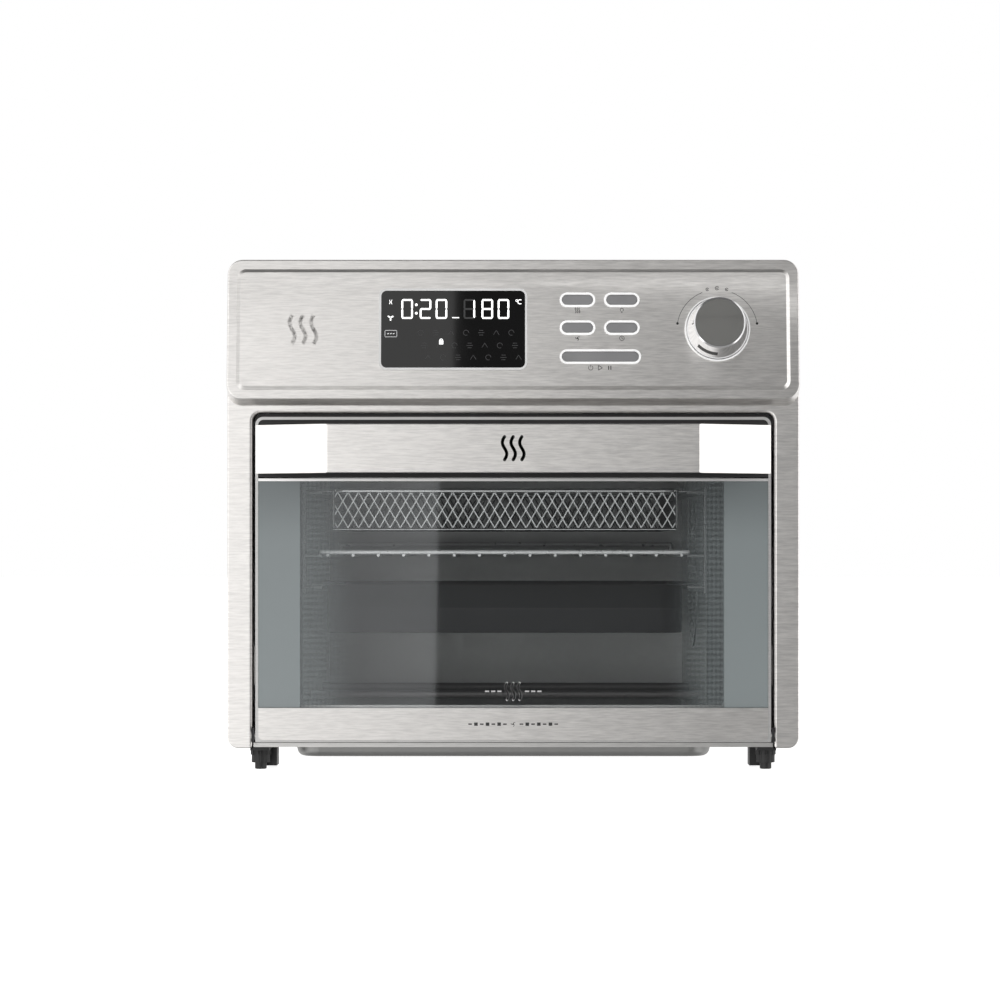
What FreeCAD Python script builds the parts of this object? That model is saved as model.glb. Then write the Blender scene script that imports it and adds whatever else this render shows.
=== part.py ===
import FreeCAD, Part
import math
import os
import Sketcher

# Countertop convection oven, in millimetres. X runs to the right, the door faces -Y and Z is up.
# The origin is on the table, under the middle of the oven's box.

Vector = FreeCAD.Vector
Placement = FreeCAD.Placement
Rotation = FreeCAD.Rotation

doc = FreeCAD.newDocument("toaster_oven")
sheet = doc.addObject("Spreadsheet::Sheet", "dims")

DIMENSIONS = {
    # outer body
    "half_width": 208.0,
    "front": -160.0,
    "back": 190.4,
    "low": 15.8,
    "metal": 0.7,
    "skin": 1.0,
    "fit": 0.1,
    "frame_depth": 10.0,
    "frame_metal": 1.2,
    "frame_top": 290.0,
    "frame_roll": 2.2,
    "opening_half": 189.5,
    "opening_top": 259.7,
    "wrap_half": 206.8,
    "wrap_top": 370.0,
    "floor_level": 16.7,
    # control panel, measured along its own slope
    "panel_tilt": 7.0,
    "panel_front": -168.15,
    "panel_low": 269.8,
    "panel_height": 102.7,
    "panel_corner": 11.0,
    "nose_depth": 7.9,
    "nose_drop": 3.8,
    "field_half": 201.4,
    "field_low": 6.0,
    "field_high": 95.7,
    "field_rise": 1.8,
    "field_root": 0.2,
    "lens_x": -43.6,
    "lens_z": 50.5,
    "lens_wide": 104.5,
    "lens_tall": 56.8,
    "lens_corner": 4.0,
    "button_wide": 22.2,
    "long_button": 55.4,
    "button_tall": 7.0,
    "rim_wide": 1.6,
    "button_gap": 0.25,
    "board_depth": 9.5,
    "knob_x": 148.2,
    "knob_z": 50.6,
    "knob_radius": 22.3,
    "knob_tip": 18.6,
    "knob_reach": 28.0,
    "shaft_radius": 3.0,
    "running_fit": 0.05,
    # door
    "door_half": 187.0,
    "door_low": 20.7,
    "door_top": 256.5,
    "door_back": -153.5,
    "door_front": -166.5,
    "door_rim": 2.0,
    "door_sheet": 1.0,
    "tray_corner": 3.9,
    "window_half": 157.0,
    "window_low": 47.0,
    "window_high": 210.5,
    "glass_low": 45.6,
    "glass_top": 211.9,
    "glass_front": -166.2,
    "glass_thick": 4.0,
    "handle_low": 215.4,
    "handle_high": 250.5,
    "handle_front": -192.0,
    "handle_flat": 133.4,
    "handle_metal": 1.5,
    "hinge_y": -163.0,
    "hinge_z": 25.0,
    "pin_radius": 3.0,
    "arm_inner": 46.0,
    "arm_outer": 52.0,
    "arm_x": 172.0,
    "arm_metal": 1.5,
    # cooking space
    "mouth_y": -152.0,
    "cavity_left": -153.5,
    "cavity_right": 141.0,
    "cavity_low": 36.0,
    "cavity_high": 244.0,
    "cavity_back": 165.0,
    "ledge_reach": 13.3,
    "ledge_metal": 1.6,
    "strap_metal": 1.1,
    "basket_level": 203.0,
    "rack_level": 156.5,
    "pan_level": 133.5,
    "slack": 0.3,
    "heater_radius": 3.2,
    "fan_y": 10.0,
    "fan_z": 140.0,
    "fan_radius": 48.0,
    # feet
    "foot_x": 184.7,
    "foot_y": -146.0,
    "foot_boss": 5.0,
    "rear_foot_y": 160.0,
}


class Dim:
    """A length from the sheet, or a sum or product of such lengths, and its expression."""

    def __init__(self, value, text):
        self.value = value
        self.text = text

    def _with(self, other, sign, value, flipped=False):
        first, second = (other, self) if flipped else (self, other)
        return Dim(value, f"({first.text} {sign} {second.text})")

    def __add__(self, other):
        other = dim(other)
        return self._with(other, "+", self.value + other.value)

    def __radd__(self, other):
        return dim(other) + self

    def __sub__(self, other):
        other = dim(other)
        return self._with(other, "-", self.value - other.value)

    def __rsub__(self, other):
        return dim(other) - self

    def __mul__(self, other):
        other = dim(other)
        return self._with(other, "*", self.value * other.value)

    def __rmul__(self, other):
        return dim(other) * self

    def __neg__(self):
        return Dim(-self.value, f"(0 - {self.text})")

    def __float__(self):
        return self.value


def dim(length):
    if isinstance(length, Dim):
        return length
    return Dim(float(length), f"({float(length)})")


class Dims:
    """The sheet's cells, each read by its alias."""

    def __init__(self, table):
        for row, (alias, value) in enumerate(table.items(), start=1):
            sheet.set(f"A{row}", alias)
            sheet.set(f"B{row}", str(value))
            sheet.setAlias(f"B{row}", alias)
            setattr(self, alias, Dim(value, f"dims.{alias}"))


d = Dims(DIMENSIONS)
doc.recompute()

TURN_TO = {
    "X": Rotation(Vector(0, 1, 0), 90),
    "Y": Rotation(Vector(1, 0, 0), -90),
    "Z": Rotation(),
}
# The control panel's own frame: its face is the plane y = 0 and z runs up its slope.
PANEL = Placement(
    Vector(0, d.panel_front.value, d.panel_low.value),
    Rotation(Vector(1, 0, 0), -d.panel_tilt.value),
)
LEFT_AND_RIGHT = (("left", -1), ("right", 1))


def bind(thing, prop, length):
    thing.setExpression(prop, dim(length).text)


def place(thing, corner, rotation, frame):
    """Put a primitive's base point in the oven's frame, or in another one such as the panel's."""
    corner = [dim(c) for c in corner]
    spot = Placement(Vector(*(c.value for c in corner)), rotation)
    if frame is None:
        thing.Placement = spot
        for axis, length in zip("xyz", corner):
            bind(thing, f"Placement.Base.{axis}", length)
    else:
        thing.Placement = frame * spot
    return thing


def box(name, x, y, z, frame=None):
    """A block that fills the pairs of lengths x, y and z."""
    block = doc.addObject("Part::Box", name)
    for prop, (low, high) in zip(("Length", "Width", "Height"), (x, y, z)):
        bind(block, prop, dim(high) - low)
    return place(block, (x[0], y[0], z[0]), Rotation(), frame)


def rod(name, radius, start, length, axis="Z", frame=None, end_radius=None):
    """A cylinder, or a cone when its end has another radius, that grows along an axis."""
    if end_radius is None:
        piece = doc.addObject("Part::Cylinder", name)
        bind(piece, "Radius", radius)
    else:
        piece = doc.addObject("Part::Cone", name)
        bind(piece, "Radius1", radius)
        bind(piece, "Radius2", end_radius)
    bind(piece, "Height", length)
    return place(piece, start, TURN_TO[axis], frame)


def fuse(name, *pieces):
    joined = doc.addObject("Part::MultiFuse", name)
    joined.Shapes = list(pieces)
    return joined


def group(name, *pieces):
    """Separate solids that share one node."""
    together = doc.addObject("Part::Compound", name)
    together.Links = list(pieces)
    return together


def cut(name, base, *tools):
    trimmed = doc.addObject("Part::Cut", name)
    trimmed.Base = base
    trimmed.Tool = tools[0] if len(tools) == 1 else fuse(f"{name}_tools", *tools)
    return trimmed


def round_edges(name, base, radius, wanted):
    """Round the edges whose every point answers to wanted(point)."""
    doc.recompute()
    chosen = []
    for number, edge in enumerate(base.Shape.Edges, start=1):
        ends = [edge.valueAt(p) for p in (edge.FirstParameter, edge.LastParameter)]
        middle = edge.valueAt((edge.FirstParameter + edge.LastParameter) / 2)
        if all(wanted(p) for p in ends + [middle]):
            chosen.append((number, radius, radius))
    if not chosen:
        raise RuntimeError(f"{name}: no edge to round")
    eased = doc.addObject("Part::Fillet", name)
    eased.Base = base
    eased.Edges = chosen
    return eased


def new_body(name, frame=None):
    body = doc.addObject("PartDesign::Body", name)
    if frame is not None:
        body.Placement = frame
    return body


def sketch(body, name, role, height=0):
    """A sketch on one of the body's own planes, raised along that plane's normal."""
    drawing = body.newObject("Sketcher::SketchObject", name)
    plane = next(f for f in body.Origin.OriginFeatures if f.Role == role)
    drawing.AttachmentSupport = [(plane, "")]
    drawing.MapMode = "FlatFace"
    bind(drawing, "AttachmentOffset.Base.z", height)
    return drawing


def measure(drawing, kind, where, length):
    """Tie one point of a sketch to the sheet."""
    length = dim(length)
    number = drawing.addConstraint(Sketcher.Constraint(kind, -1, 1, *where, length.value))
    drawing.setExpression(f"Constraints[{number}]", length.text)


def outline(drawing, points):
    """A closed run of straight lines through points of the sheet's lengths."""
    points = [(dim(x), dim(y)) for x, y in points]
    spots = [Vector(x.value, y.value, 0) for x, y in points]
    first = drawing.GeometryCount
    for a, b in zip(spots, spots[1:] + spots[:1]):
        drawing.addGeometry(Part.LineSegment(a, b), False)
    for i, (x, y) in enumerate(points):
        after = first + (i - 1) % len(points)
        drawing.addConstraint(Sketcher.Constraint("Coincident", after, 2, first + i, 1))
        measure(drawing, "DistanceX", (first + i, 1), x)
        measure(drawing, "DistanceY", (first + i, 1), y)


def rounded(drawing, x, y, radius):
    """A rectangle with four equal rounded corners."""
    x0, x1 = (dim(v) for v in x)
    y0, y1 = (dim(v) for v in y)
    r = dim(radius)
    left, right, low, high = x0.value, x1.value, y0.value, y1.value
    rv = r.value
    first = drawing.GeometryCount
    lines = [
        ((left + rv, low), (right - rv, low)),
        ((right, low + rv), (right, high - rv)),
        ((right - rv, high), (left + rv, high)),
        ((left, high - rv), (left, low + rv)),
    ]
    middles = [
        (right - rv, low + rv),
        (right - rv, high - rv),
        (left + rv, high - rv),
        (left + rv, low + rv),
    ]
    up = Vector(0, 0, 1)
    for a, b in lines:
        drawing.addGeometry(Part.LineSegment(Vector(*a, 0), Vector(*b, 0)), False)
    for i, centre in enumerate(middles):
        start = math.radians(90 * i - 90)
        circle = Part.Circle(Vector(*centre, 0), up, rv)
        drawing.addGeometry(Part.ArcOfCircle(circle, start, start + math.pi / 2), False)
    line = [first + i for i in range(4)]
    arc = [first + 4 + i for i in range(4)]
    for i in range(4):
        drawing.addConstraint(Sketcher.Constraint("Tangent", line[i], 2, arc[i], 1))
        drawing.addConstraint(Sketcher.Constraint("Tangent", arc[i], 2, line[(i + 1) % 4], 1))
        kind = "Vertical" if i % 2 else "Horizontal"
        drawing.addConstraint(Sketcher.Constraint(kind, line[i]))
        if i:
            drawing.addConstraint(Sketcher.Constraint("Equal", arc[0], arc[i]))
    number = drawing.addConstraint(Sketcher.Constraint("Radius", arc[0], rv))
    drawing.setExpression(f"Constraints[{number}]", r.text)
    measure(drawing, "DistanceY", (line[0], 1), y0)
    measure(drawing, "DistanceX", (line[1], 1), x1)
    measure(drawing, "DistanceY", (line[2], 1), y1)
    measure(drawing, "DistanceX", (line[3], 1), x0)


def round_hole(drawing, x, y, radius):
    x, y, radius = dim(x), dim(y), dim(radius)
    circle = Part.Circle(Vector(x.value, y.value, 0), Vector(0, 0, 1), radius.value)
    number = drawing.addGeometry(circle, False)
    measure(drawing, "DistanceX", (number, 3), x)
    measure(drawing, "DistanceY", (number, 3), y)
    constraint = drawing.addConstraint(Sketcher.Constraint("Radius", number, radius.value))
    drawing.setExpression(f"Constraints[{constraint}]", radius.text)


def pad(body, profile, length, backwards=False):
    feature = body.newObject("PartDesign::Pad", f"{profile.Name}_pad")
    feature.Profile = profile
    bind(feature, "Length", length)
    feature.Reversed = backwards
    return feature


def pocket(body, profile, depth, backwards=False):
    """Cut a profile into the body. A pocket that removes nothing stops the script."""
    doc.recompute()
    before = body.Shape.Volume
    feature = body.newObject("PartDesign::Pocket", f"{profile.Name}_pocket")
    feature.Profile = profile
    bind(feature, "Length", depth)
    feature.Reversed = backwards
    doc.recompute()
    if body.Shape.Volume > before - 0.5:
        raise RuntimeError(f"{profile.Name}: the pocket removes nothing")
    return feature


def pattern(body, feature, drawing, axis, length, count):
    """Repeat a pocket along one axis of its own sketch."""
    row = body.newObject("PartDesign::LinearPattern", f"{feature.Name}_row")
    row.Originals = [feature]
    row.Direction = (drawing, [axis])
    bind(row, "Length", length)
    row.Occurrences = count
    body.Tip = row
    return row


def panel_plate(name, x, z, radius, front, back, holes=(), frame=None):
    """A flat upright plate with rounded corners, from the depth back to the depth front."""
    body = new_body(name, frame)
    face = sketch(body, f"{name}_face", "XZ_Plane", -dim(back))
    rounded(face, x, z, radius)
    for hole_x, hole_z, hole_radius in holes:
        rounded(face, hole_x, hole_z, hole_radius)
    pad(body, face, dim(back) - front)
    return body


# ---------------------------------------------------------------- outer body


def front_frame():
    """Stamped steel frame: an upside-down U with a rolled edge, open behind."""
    body = new_body("front_frame_body")
    rear = d.front + d.frame_depth
    face = sketch(body, "frame_face", "XZ_Plane", -rear)
    rounded(face, (-d.half_width, d.half_width), (d.low, d.frame_top), 8)
    pad(body, face, d.frame_depth)
    opening = sketch(body, "frame_opening", "XZ_Plane", -rear)
    rounded(opening, (-d.opening_half, d.opening_half), (d.low - 12, d.opening_top), 6)
    pocket(body, opening, d.frame_depth + 1, backwards=True)
    hollow = sketch(body, "frame_hollow", "XZ_Plane", -rear)
    sheet_metal = d.frame_metal
    outer = d.half_width - sheet_metal
    fold = d.frame_roll + 0.8
    inner = d.opening_half + fold
    under = d.low + sheet_metal
    over = d.frame_top - sheet_metal
    lintel = d.opening_top + fold
    outline(hollow, [
        (-outer, under + 7), (-outer + 7, under), (-inner, under), (-inner, lintel),
        (inner, lintel), (inner, under), (outer - 7, under), (outer, under + 7),
        (outer, over), (-outer, over),
    ])
    pocket(body, hollow, d.frame_depth - sheet_metal, backwards=True)
    front = d.front.value
    edge = d.opening_half.value + 0.01
    outside = round_edges(
        "frame_outside", body, 1.0, lambda p: abs(p.y - front) < 0.01 and not in_opening(p, edge)
    )
    return round_edges(
        "front_frame", outside, d.frame_roll.value,
        lambda p: abs(p.y - front) < 0.01 and in_opening(p, edge),
    )


def in_opening(point, half):
    return abs(point.x) < half and point.z < d.opening_top.value + 0.01


def outer_cabinet():
    """Wrapped steel sheet: top, both sides and two turned-in flanges below, with vents."""
    body = new_body("outer_cabinet")
    face = sketch(body, "cabinet_section", "XZ_Plane", -d.back)
    rounded(face, (-d.wrap_half, d.wrap_half), (d.low + 0.1, d.wrap_top), 10)
    inner = d.wrap_half - d.metal
    rounded(face, (-inner, inner), (d.low + 0.1 + d.metal, d.wrap_top - d.metal), 10 - d.metal)
    depth = d.back - (d.front + d.frame_depth) - 0.2
    pad(body, face, depth)
    under = sketch(body, "cabinet_underside", "XZ_Plane", -d.back)
    under_half = d.foot_x + d.foot_boss + 1
    outline(under, [
        (-under_half, 5), (under_half, 5), (under_half, 18.2), (-under_half, 18.2),
    ])
    pocket(body, under, depth + 1, backwards=True)
    for number, (low, high) in enumerate(((52, 84), (296, 336))):
        slot = sketch(body, f"side_vent_{number}", "YZ_Plane", d.half_width + 1)
        rounded(slot, (40, 43.2), (low, high), 1.5)
        first = pocket(body, slot, d.half_width * 2 + 2)
        pattern(body, first, slot, "H_Axis", 112, 15)
    return body


REAR_SCREWS = [(x, z) for x in (-190, 0, 190) for z in (30, 352)] + [(-190, 190), (190, 190)]
GLAND = (-150, 62)


def rear_panel():
    """Back sheet inside the wrap, with two rows of vents, the cord's hole and screw holes."""
    body = new_body("rear_panel")
    face = sketch(body, "rear_face", "XZ_Plane", -d.back)
    half = d.wrap_half - d.metal - 0.2
    rounded(face, (-half, half), (d.low + d.metal + 0.5, d.wrap_top - d.metal - 0.2), 9)
    for x, z in REAR_SCREWS:
        round_hole(face, x, z, 1.85)
    round_hole(face, *GLAND, 8.1)
    pad(body, face, d.metal)
    for number, (low, high) in enumerate(((110, 150), (290, 330))):
        slot = sketch(body, f"rear_vent_{number}", "XZ_Plane", -d.back)
        rounded(slot, (-150, -146.5), (low, high), 1.7)
        first = pocket(body, slot, d.metal + 1, backwards=True)
        pattern(body, first, slot, "H_Axis", 296, 30)
    return body


def base_plate():
    """Bottom sheet with the narrow lip that shows under the door."""
    level = (d.floor_level, d.floor_level + d.metal)
    half = d.opening_half - 0.6
    rear = d.front + d.frame_depth + 1
    return fuse(
        "base_plate",
        box("base_sheet", (-196, 196), (rear, d.back - 1.6), level),
        box("base_tongue", (-half, half), (d.front, rear), level),
        box("base_lip", (-half, half), (d.front, d.front + d.metal),
            (d.floor_level, d.floor_level + 3.2)),
    )


def base_pan():
    """Shallow pressed dish under the base plate, with a rounded lower edge."""
    body = new_body("base_pan_body")
    deep = 9.2
    sheet_metal = d.metal + 0.2
    slope = -16
    face = sketch(body, "pan_rim", "XY_Plane", d.floor_level)
    rounded(face, (-161.5, 147), (-130, 136), 18)
    dish = pad(body, face, deep, backwards=True)
    dish.TaperAngle = slope
    inside = sketch(body, "pan_recess", "XY_Plane", d.floor_level)
    gap = 1.1
    rounded(inside, (-161.5 + gap, 147 - gap), (-130 + gap, 136 - gap), 18 - gap)
    recess = pocket(body, inside, deep - sheet_metal)
    recess.TaperAngle = slope
    lower = d.floor_level.value - deep
    upper = lower + sheet_metal.value
    outside = round_edges("pan_outside", body, 5.5, lambda p: abs(p.z - lower) < 0.01)
    return round_edges("base_pan", outside, 4.6, lambda p: abs(p.z - upper) < 0.01)


FLUTES = 10


def foot(side, sign):
    """Moulded front foot: flange, fluted collar and stem, round tip, block behind it."""
    middle = sign * d.foot_x
    y = d.foot_y
    top = d.low - 0.1
    depth = (d.front - 0.2, y + 14)
    collar = 7.4
    stem = 6.7
    tip = 4.3
    waist = 4.8
    flange = sorted_pair(sign * 177.4, sign * 189.2)
    tongue = sorted_pair(sign * 177.4, sign * 191.3)
    block = sorted_pair(sign * 173.6, sign * 183.0)
    solid = fuse(
        f"foot_{side}_solid",
        box(f"foot_{side}_flange", flange, depth, (top - 1.5, d.floor_level)),
        box(f"foot_{side}_tongue", tongue, depth, (top - 1.5, top)),
        rod(f"foot_{side}_collar", collar, (middle, y, 10.4), top - 11.4),
        rod(f"foot_{side}_stem", stem, (middle, y, waist), top - waist - 1),
        rod(f"foot_{side}_tip", tip, (middle, y, 0), waist + 1),
        box(f"foot_{side}_block", block, (y + 9, y + 28), (1.6, top)),
        box(f"foot_{side}_web", (middle - 3, middle + 3), (y, y + 12), (7, top)),
    )
    flutes = []
    for number in range(FLUTES):
        angle = 2 * math.pi * (number + 0.5) / FLUTES
        spot = (middle + 7.7 * math.cos(angle), y + 7.7 * math.sin(angle), waist - 1)
        flutes.append(rod(f"foot_{side}_flute_{number}", 1.3, spot, top - waist - 0.5))
    fluted = cut(f"foot_{side}_fluted", solid, *flutes)
    return round_edges(f"front_foot_{side}", fluted, 0.8, lambda p: p.z < 0.01)


def rear_foot(side, sign):
    """Plain rear foot: cone, flange and the boss that meets the base plate."""
    middle = (sign * d.foot_x, d.rear_foot_y)
    top = d.low
    return fuse(
        f"rear_foot_{side}",
        rod(f"rear_stem_{side}", 7, (*middle, 0), top, end_radius=9),
        rod(f"rear_flange_{side}", 11, (*middle, top - 2), 2),
        rod(f"rear_boss_{side}", d.foot_boss, (*middle, top - 1), d.floor_level - top + 1),
    )


def screws():
    """Pan-head screws that hold the rear panel."""
    solids = []
    for number, (x, z) in enumerate(REAR_SCREWS):
        shank = rod(f"screw_{number}_shank", 1.75, (x, d.back - 7, z), 7.1, "Y")
        head = rod(f"screw_{number}_head", 3.6, (x, d.back, z), 1.6, "Y", end_radius=2.6)
        solids.append(fuse(f"screw_{number}", shank, head))
    return group("cabinet_screws", *solids)


def cord_gland():
    x, z = GLAND
    return cut(
        "cord_gland",
        fuse(
            "gland_body",
            rod("gland_barrel", 8, (x, d.back - 10, z), 11.6, "Y"),
            rod("gland_flange", 10.5, (x, d.back, z), 1.6, "Y"),
        ),
        rod("gland_bore", 4, (x, d.back - 12, z), 20, "Y"),
    )


# ---------------------------------------------------------------- control panel

SMALL_BUTTONS = {
    "button_preheat": (46.7, 72.2),
    "button_light": (78.9, 72.2),
    "button_air": (46.7, 51.6),
    "button_timer": (78.9, 51.6),
}
LONG_BUTTON = {"button_start": (63.2, 30.3)}


def buttons():
    """Each button's name, middle and half width."""
    for table, width in ((SMALL_BUTTONS, d.button_wide), (LONG_BUTTON, d.long_button)):
        for name, (x, z) in table.items():
            yield name, x, z, width * 0.5


def around(x, z, half_wide, half_tall):
    return (x - half_wide, x + half_wide), (z - half_tall, z + half_tall)


def control_panel():
    """Sloping steel fascia: a nose that overhangs the door, and a raised inner field."""
    body = new_body("panel_body", PANEL)
    half = d.half_width
    face = sketch(body, "panel_face", "XZ_Plane", 0)
    rounded(face, (-half, half), (0, d.panel_height), d.panel_corner)
    rear = sketch(body, "panel_rear", "XZ_Plane", -d.nose_depth)
    rounded(rear, (-half, half), (-d.nose_drop, d.panel_height), d.panel_corner)
    nose = body.newObject("PartDesign::AdditiveLoft", "panel_nose")
    nose.Profile = face
    nose.Sections = [rear]
    nose.Ruled = True
    hood = sketch(body, "panel_hood", "XZ_Plane", -d.nose_depth)
    rounded(hood, (-half, half), (-d.nose_drop, d.panel_height), d.panel_corner)
    pad(body, hood, 14, backwards=True)
    hollow = sketch(body, "panel_hollow", "XZ_Plane", -d.skin)
    inner = half - d.skin
    hollow_z = (d.skin, d.panel_height - d.skin)
    rounded(hollow, (-inner, inner), hollow_z, d.panel_corner - d.skin)
    pocket(body, hollow, 40)
    rear_y = d.front + d.frame_depth - 0.4
    shell = cut(
        "panel_shell",
        round_edges("panel_edges", body, 1.2, on_panel_face),
        box("behind_panel", (-220, 220), (rear_y, -90), (230, 420)),
        box("frame_space", (-220, 220), (d.front - 0.15, -90), (230, d.frame_top + 0.3)),
    )
    field = new_body("panel_field", PANEL)
    base = sketch(field, "field_face", "XZ_Plane", -d.field_root)
    rounded(base, (-d.field_half, d.field_half), (d.field_low, d.field_high), 7)
    raised = pad(field, base, d.field_rise + d.field_root)
    raised.TaperAngle = -56
    half_wide = d.lens_wide * 0.5 - 1.5
    half_tall = d.lens_tall * 0.5 - 1.5
    window = panel_plate(
        "display_hole", *around(d.lens_x, d.lens_z, half_wide, half_tall), 3, -6, 6, frame=PANEL
    )
    holes = [window]
    for name, x, z, half_button in buttons():
        gap = d.button_gap
        middle = around(x, z, half_button + gap, d.button_tall * 0.5 + gap)
        radius = d.button_tall * 0.5 + gap - 0.01
        holes.append(panel_plate(f"{name}_hole", *middle, radius, -6, 6, frame=PANEL))
    start = (d.knob_x, -6, d.knob_z)
    holes.append(rod("shaft_hole", 3.6, start, 12, "Y", PANEL))
    return cut("control_panel", fuse("panel_solid", shell, field), *holes)


def in_panel(point):
    return PANEL.inverse().multVec(point)


def on_panel_face(point):
    return abs(in_panel(point).y) < 0.01 and abs(in_panel(point).x) > 200


def ring(name, x, z, half_wide, half_tall, width, front, back, radius):
    """A rounded frame that stands on the panel around an opening."""
    body = new_body(name, PANEL)
    face = sketch(body, f"{name}_face", "XZ_Plane", -dim(back))
    rounded(face, *around(x, z, half_wide + width, half_tall + width), radius + width)
    rounded(face, *around(x, z, half_wide, half_tall), radius)
    pad(body, face, dim(back) - front)
    return body


def display():
    """Chrome bezel, dark window and the lit module behind it."""
    x, z = d.lens_x, d.lens_z
    half_wide = d.lens_wide * 0.5
    half_tall = d.lens_tall * 0.5
    rise = d.field_rise
    ring(
        "display_bezel", x, z, half_wide, half_tall, 1.6, -rise - 1.3, -rise, d.lens_corner
    )
    panel_plate(
        "display_window", *around(x, z, half_wide - 0.05, half_tall - 0.05),
        d.lens_corner - 0.05, -rise - 1.0, -rise, frame=PANEL,
    )
    module_y = (0.6, d.board_depth - 0.2)
    box("display_module", *((x - 48, x + 48), module_y, (z - 24, z + 24)), PANEL)


def button_parts():
    rims = []
    for name, x, z, half_button in buttons():
        half_tall = d.button_tall * 0.5
        gap = d.button_gap
        rims.append(ring(
            f"{name}_rim", x, z, half_button + gap, half_tall + gap, d.rim_wide,
            -d.field_rise - 1.2, -d.field_rise, half_tall + gap - 0.01,
        ))
        cap = panel_plate(
            f"{name}_cap", *around(x, z, half_button, half_tall), half_tall - 0.01,
            -d.field_rise - 1.7, 2.4, frame=PANEL,
        )
        flange = panel_plate(
            f"{name}_flange", *around(x, z, half_button + 1.4, half_tall + 1.2), 3, 2.2, 3.4,
            frame=PANEL,
        )
        front = -(d.field_rise + 1.7).value
        crowned = round_edges(
            f"{name}_crown", cap, 0.6, lambda p, f=front: abs(in_panel(p).y - f) < 0.01
        )
        fuse(name, crowned, flange)
    group("button_rims", *rims)


def control_board():
    """Circuit board behind the panel with its switches soldered on."""
    deep = d.board_depth
    pieces = [box("board_sheet", (-98, 178), (deep, deep + 1.6), (22.5, 88), PANEL)]
    for name, x, z, half_button in buttons():
        pieces.append(box(
            f"{name}_switch", (x - 3, x + 3), (deep - 4.6, deep + 0.2), (z - 3, z + 3), PANEL
        ))
    encoder_gap = (
        (d.knob_x - 7, d.knob_x + 7), (0, 20), (d.knob_z - 7.5, d.knob_z + 7.5),
    )
    return cut(
        "control_board",
        fuse("board_solid", *pieces),
        box("encoder_space", *encoder_gap, PANEL),
    )


def knob_parts():
    """Encoder on the board, its shaft, the knob with its pointer groove, cap and fixed ring."""
    x, z = d.knob_x, d.knob_z
    face = d.field_rise
    bore = d.shaft_radius + d.running_fit
    cut(
        "encoder",
        fuse(
            "encoder_solid",
            box("encoder_case", (x - 6, x + 6), (2.6, 9.4), (z - 6.5, z + 6.5), PANEL),
            rod("encoder_bush", 3.5, (x, -5.5, z), 8.3, "Y", PANEL),
        ),
        rod("encoder_bore", bore, (x, -8, z), 16, "Y", PANEL),
    )
    rod("encoder_shaft", d.shaft_radius, (x, -22, z), 27, "Y", PANEL)
    cut(
        "knob_ring",
        rod("knob_ring_disc", 23.7, (x, -face - 2.4, z), 2.4, "Y", PANEL),
        rod("knob_ring_hole", d.knob_radius + 0.5, (x, -face - 4, z), 8, "Y", PANEL),
    )
    base = -face - 0.5
    tip = -d.knob_reach
    turned = fuse(
        "knob_turned",
        rod("knob_skirt", d.knob_radius, (x, base - 3, z), 3, "Y", PANEL),
        rod("knob_cone", d.knob_tip, (x, tip + 1, z), base - 3 - (tip + 1), "Y", PANEL,
            end_radius=d.knob_radius),
        rod("knob_edge", d.knob_tip - 1, (x, tip, z), 1, "Y", PANEL, end_radius=d.knob_tip),
    )
    groove = cut(
        "pointer_groove",
        pointer_sector(),
        rod("groove_core", d.knob_tip - 0.9, (x, tip + 1, z), base - 3 - (tip + 1), "Y", PANEL,
            end_radius=d.knob_radius - 0.9),
    )
    hub = d.shaft_radius + 0.02
    hollow = cut(
        "knob_hollow",
        rod("knob_space", 15.5, (x, -20, z), 24, "Y", PANEL),
        rod("knob_boss", 6, (x, -21, z), 14, "Y", PANEL),
    )
    cut(
        "knob",
        turned,
        groove,
        hollow,
        rod("cap_seat", 17.2, (x, tip - 1, z), 2.2, "Y", PANEL),
        rod("knob_bore", hub, (x, -22.5, z), 26, "Y", PANEL),
    )
    rod("knob_cap", 17.1, (x, tip + 0.2, z), 0.95, "Y", PANEL)


def pointer_sector():
    """Wedge of a disc, on the lower left of the knob, that the groove is cut with."""
    sector = doc.addObject("Part::Cylinder", "pointer_sector")
    bind(sector, "Radius", d.knob_radius + 4)
    bind(sector, "Height", 6.1)
    sector.Angle = 44
    spot = Vector(d.knob_x.value, -d.knob_reach.value + 10, d.knob_z.value)
    turn = Rotation(Vector(0, 1, 0), 92) * TURN_TO["Y"]
    sector.Placement = PANEL * Placement(spot, turn)
    return sector


# ---------------------------------------------------------------- door


def door_frame():
    """Folded steel tray that carries the glass, the handle and the lower trim."""
    body = new_body("door_frame")
    back = -d.door_back
    face = sketch(body, "door_outline", "XZ_Plane", back)
    rounded(face, (-d.door_half, d.door_half), (d.door_low, d.door_top), 5.5)
    depth = d.door_back - d.door_front
    pad(body, face, depth)
    heel = sketch(body, "door_heel", "XZ_Plane", back)
    rounded(heel, (-d.door_half, d.door_half), (d.door_low, d.door_low + 14), 0.8)
    pad(body, heel, depth)
    tray = sketch(body, "door_tray", "XZ_Plane", back + d.door_sheet)
    rounded(tray, *tray_inside(0), d.tray_corner)
    pocket(body, tray, depth, backwards=True)
    window = sketch(body, "door_window", "XZ_Plane", back)
    rounded(window, (-d.window_half, d.window_half), (d.window_low, d.window_high), 3)
    pocket(body, window, depth, backwards=True)
    return body


def tray_inside(gap):
    """Width and height of the space inside the door's rim, less a gap all round."""
    half = d.door_half - d.door_rim - gap
    return (-half, half), (d.door_low + 1.3 + gap, d.door_top - d.door_rim - gap)


def within_tray(name, piece):
    """Trim a piece to the rounded corners of the door's tray."""
    gap = d.fit
    width, height = tray_inside(gap)
    shape = panel_plate(
        f"{name}_limit", width, height, d.tray_corner - gap, d.door_front - 5, d.door_back
    )
    kept = doc.addObject("Part::MultiCommon", name)
    kept.Shapes = [piece, shape]
    return kept


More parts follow.
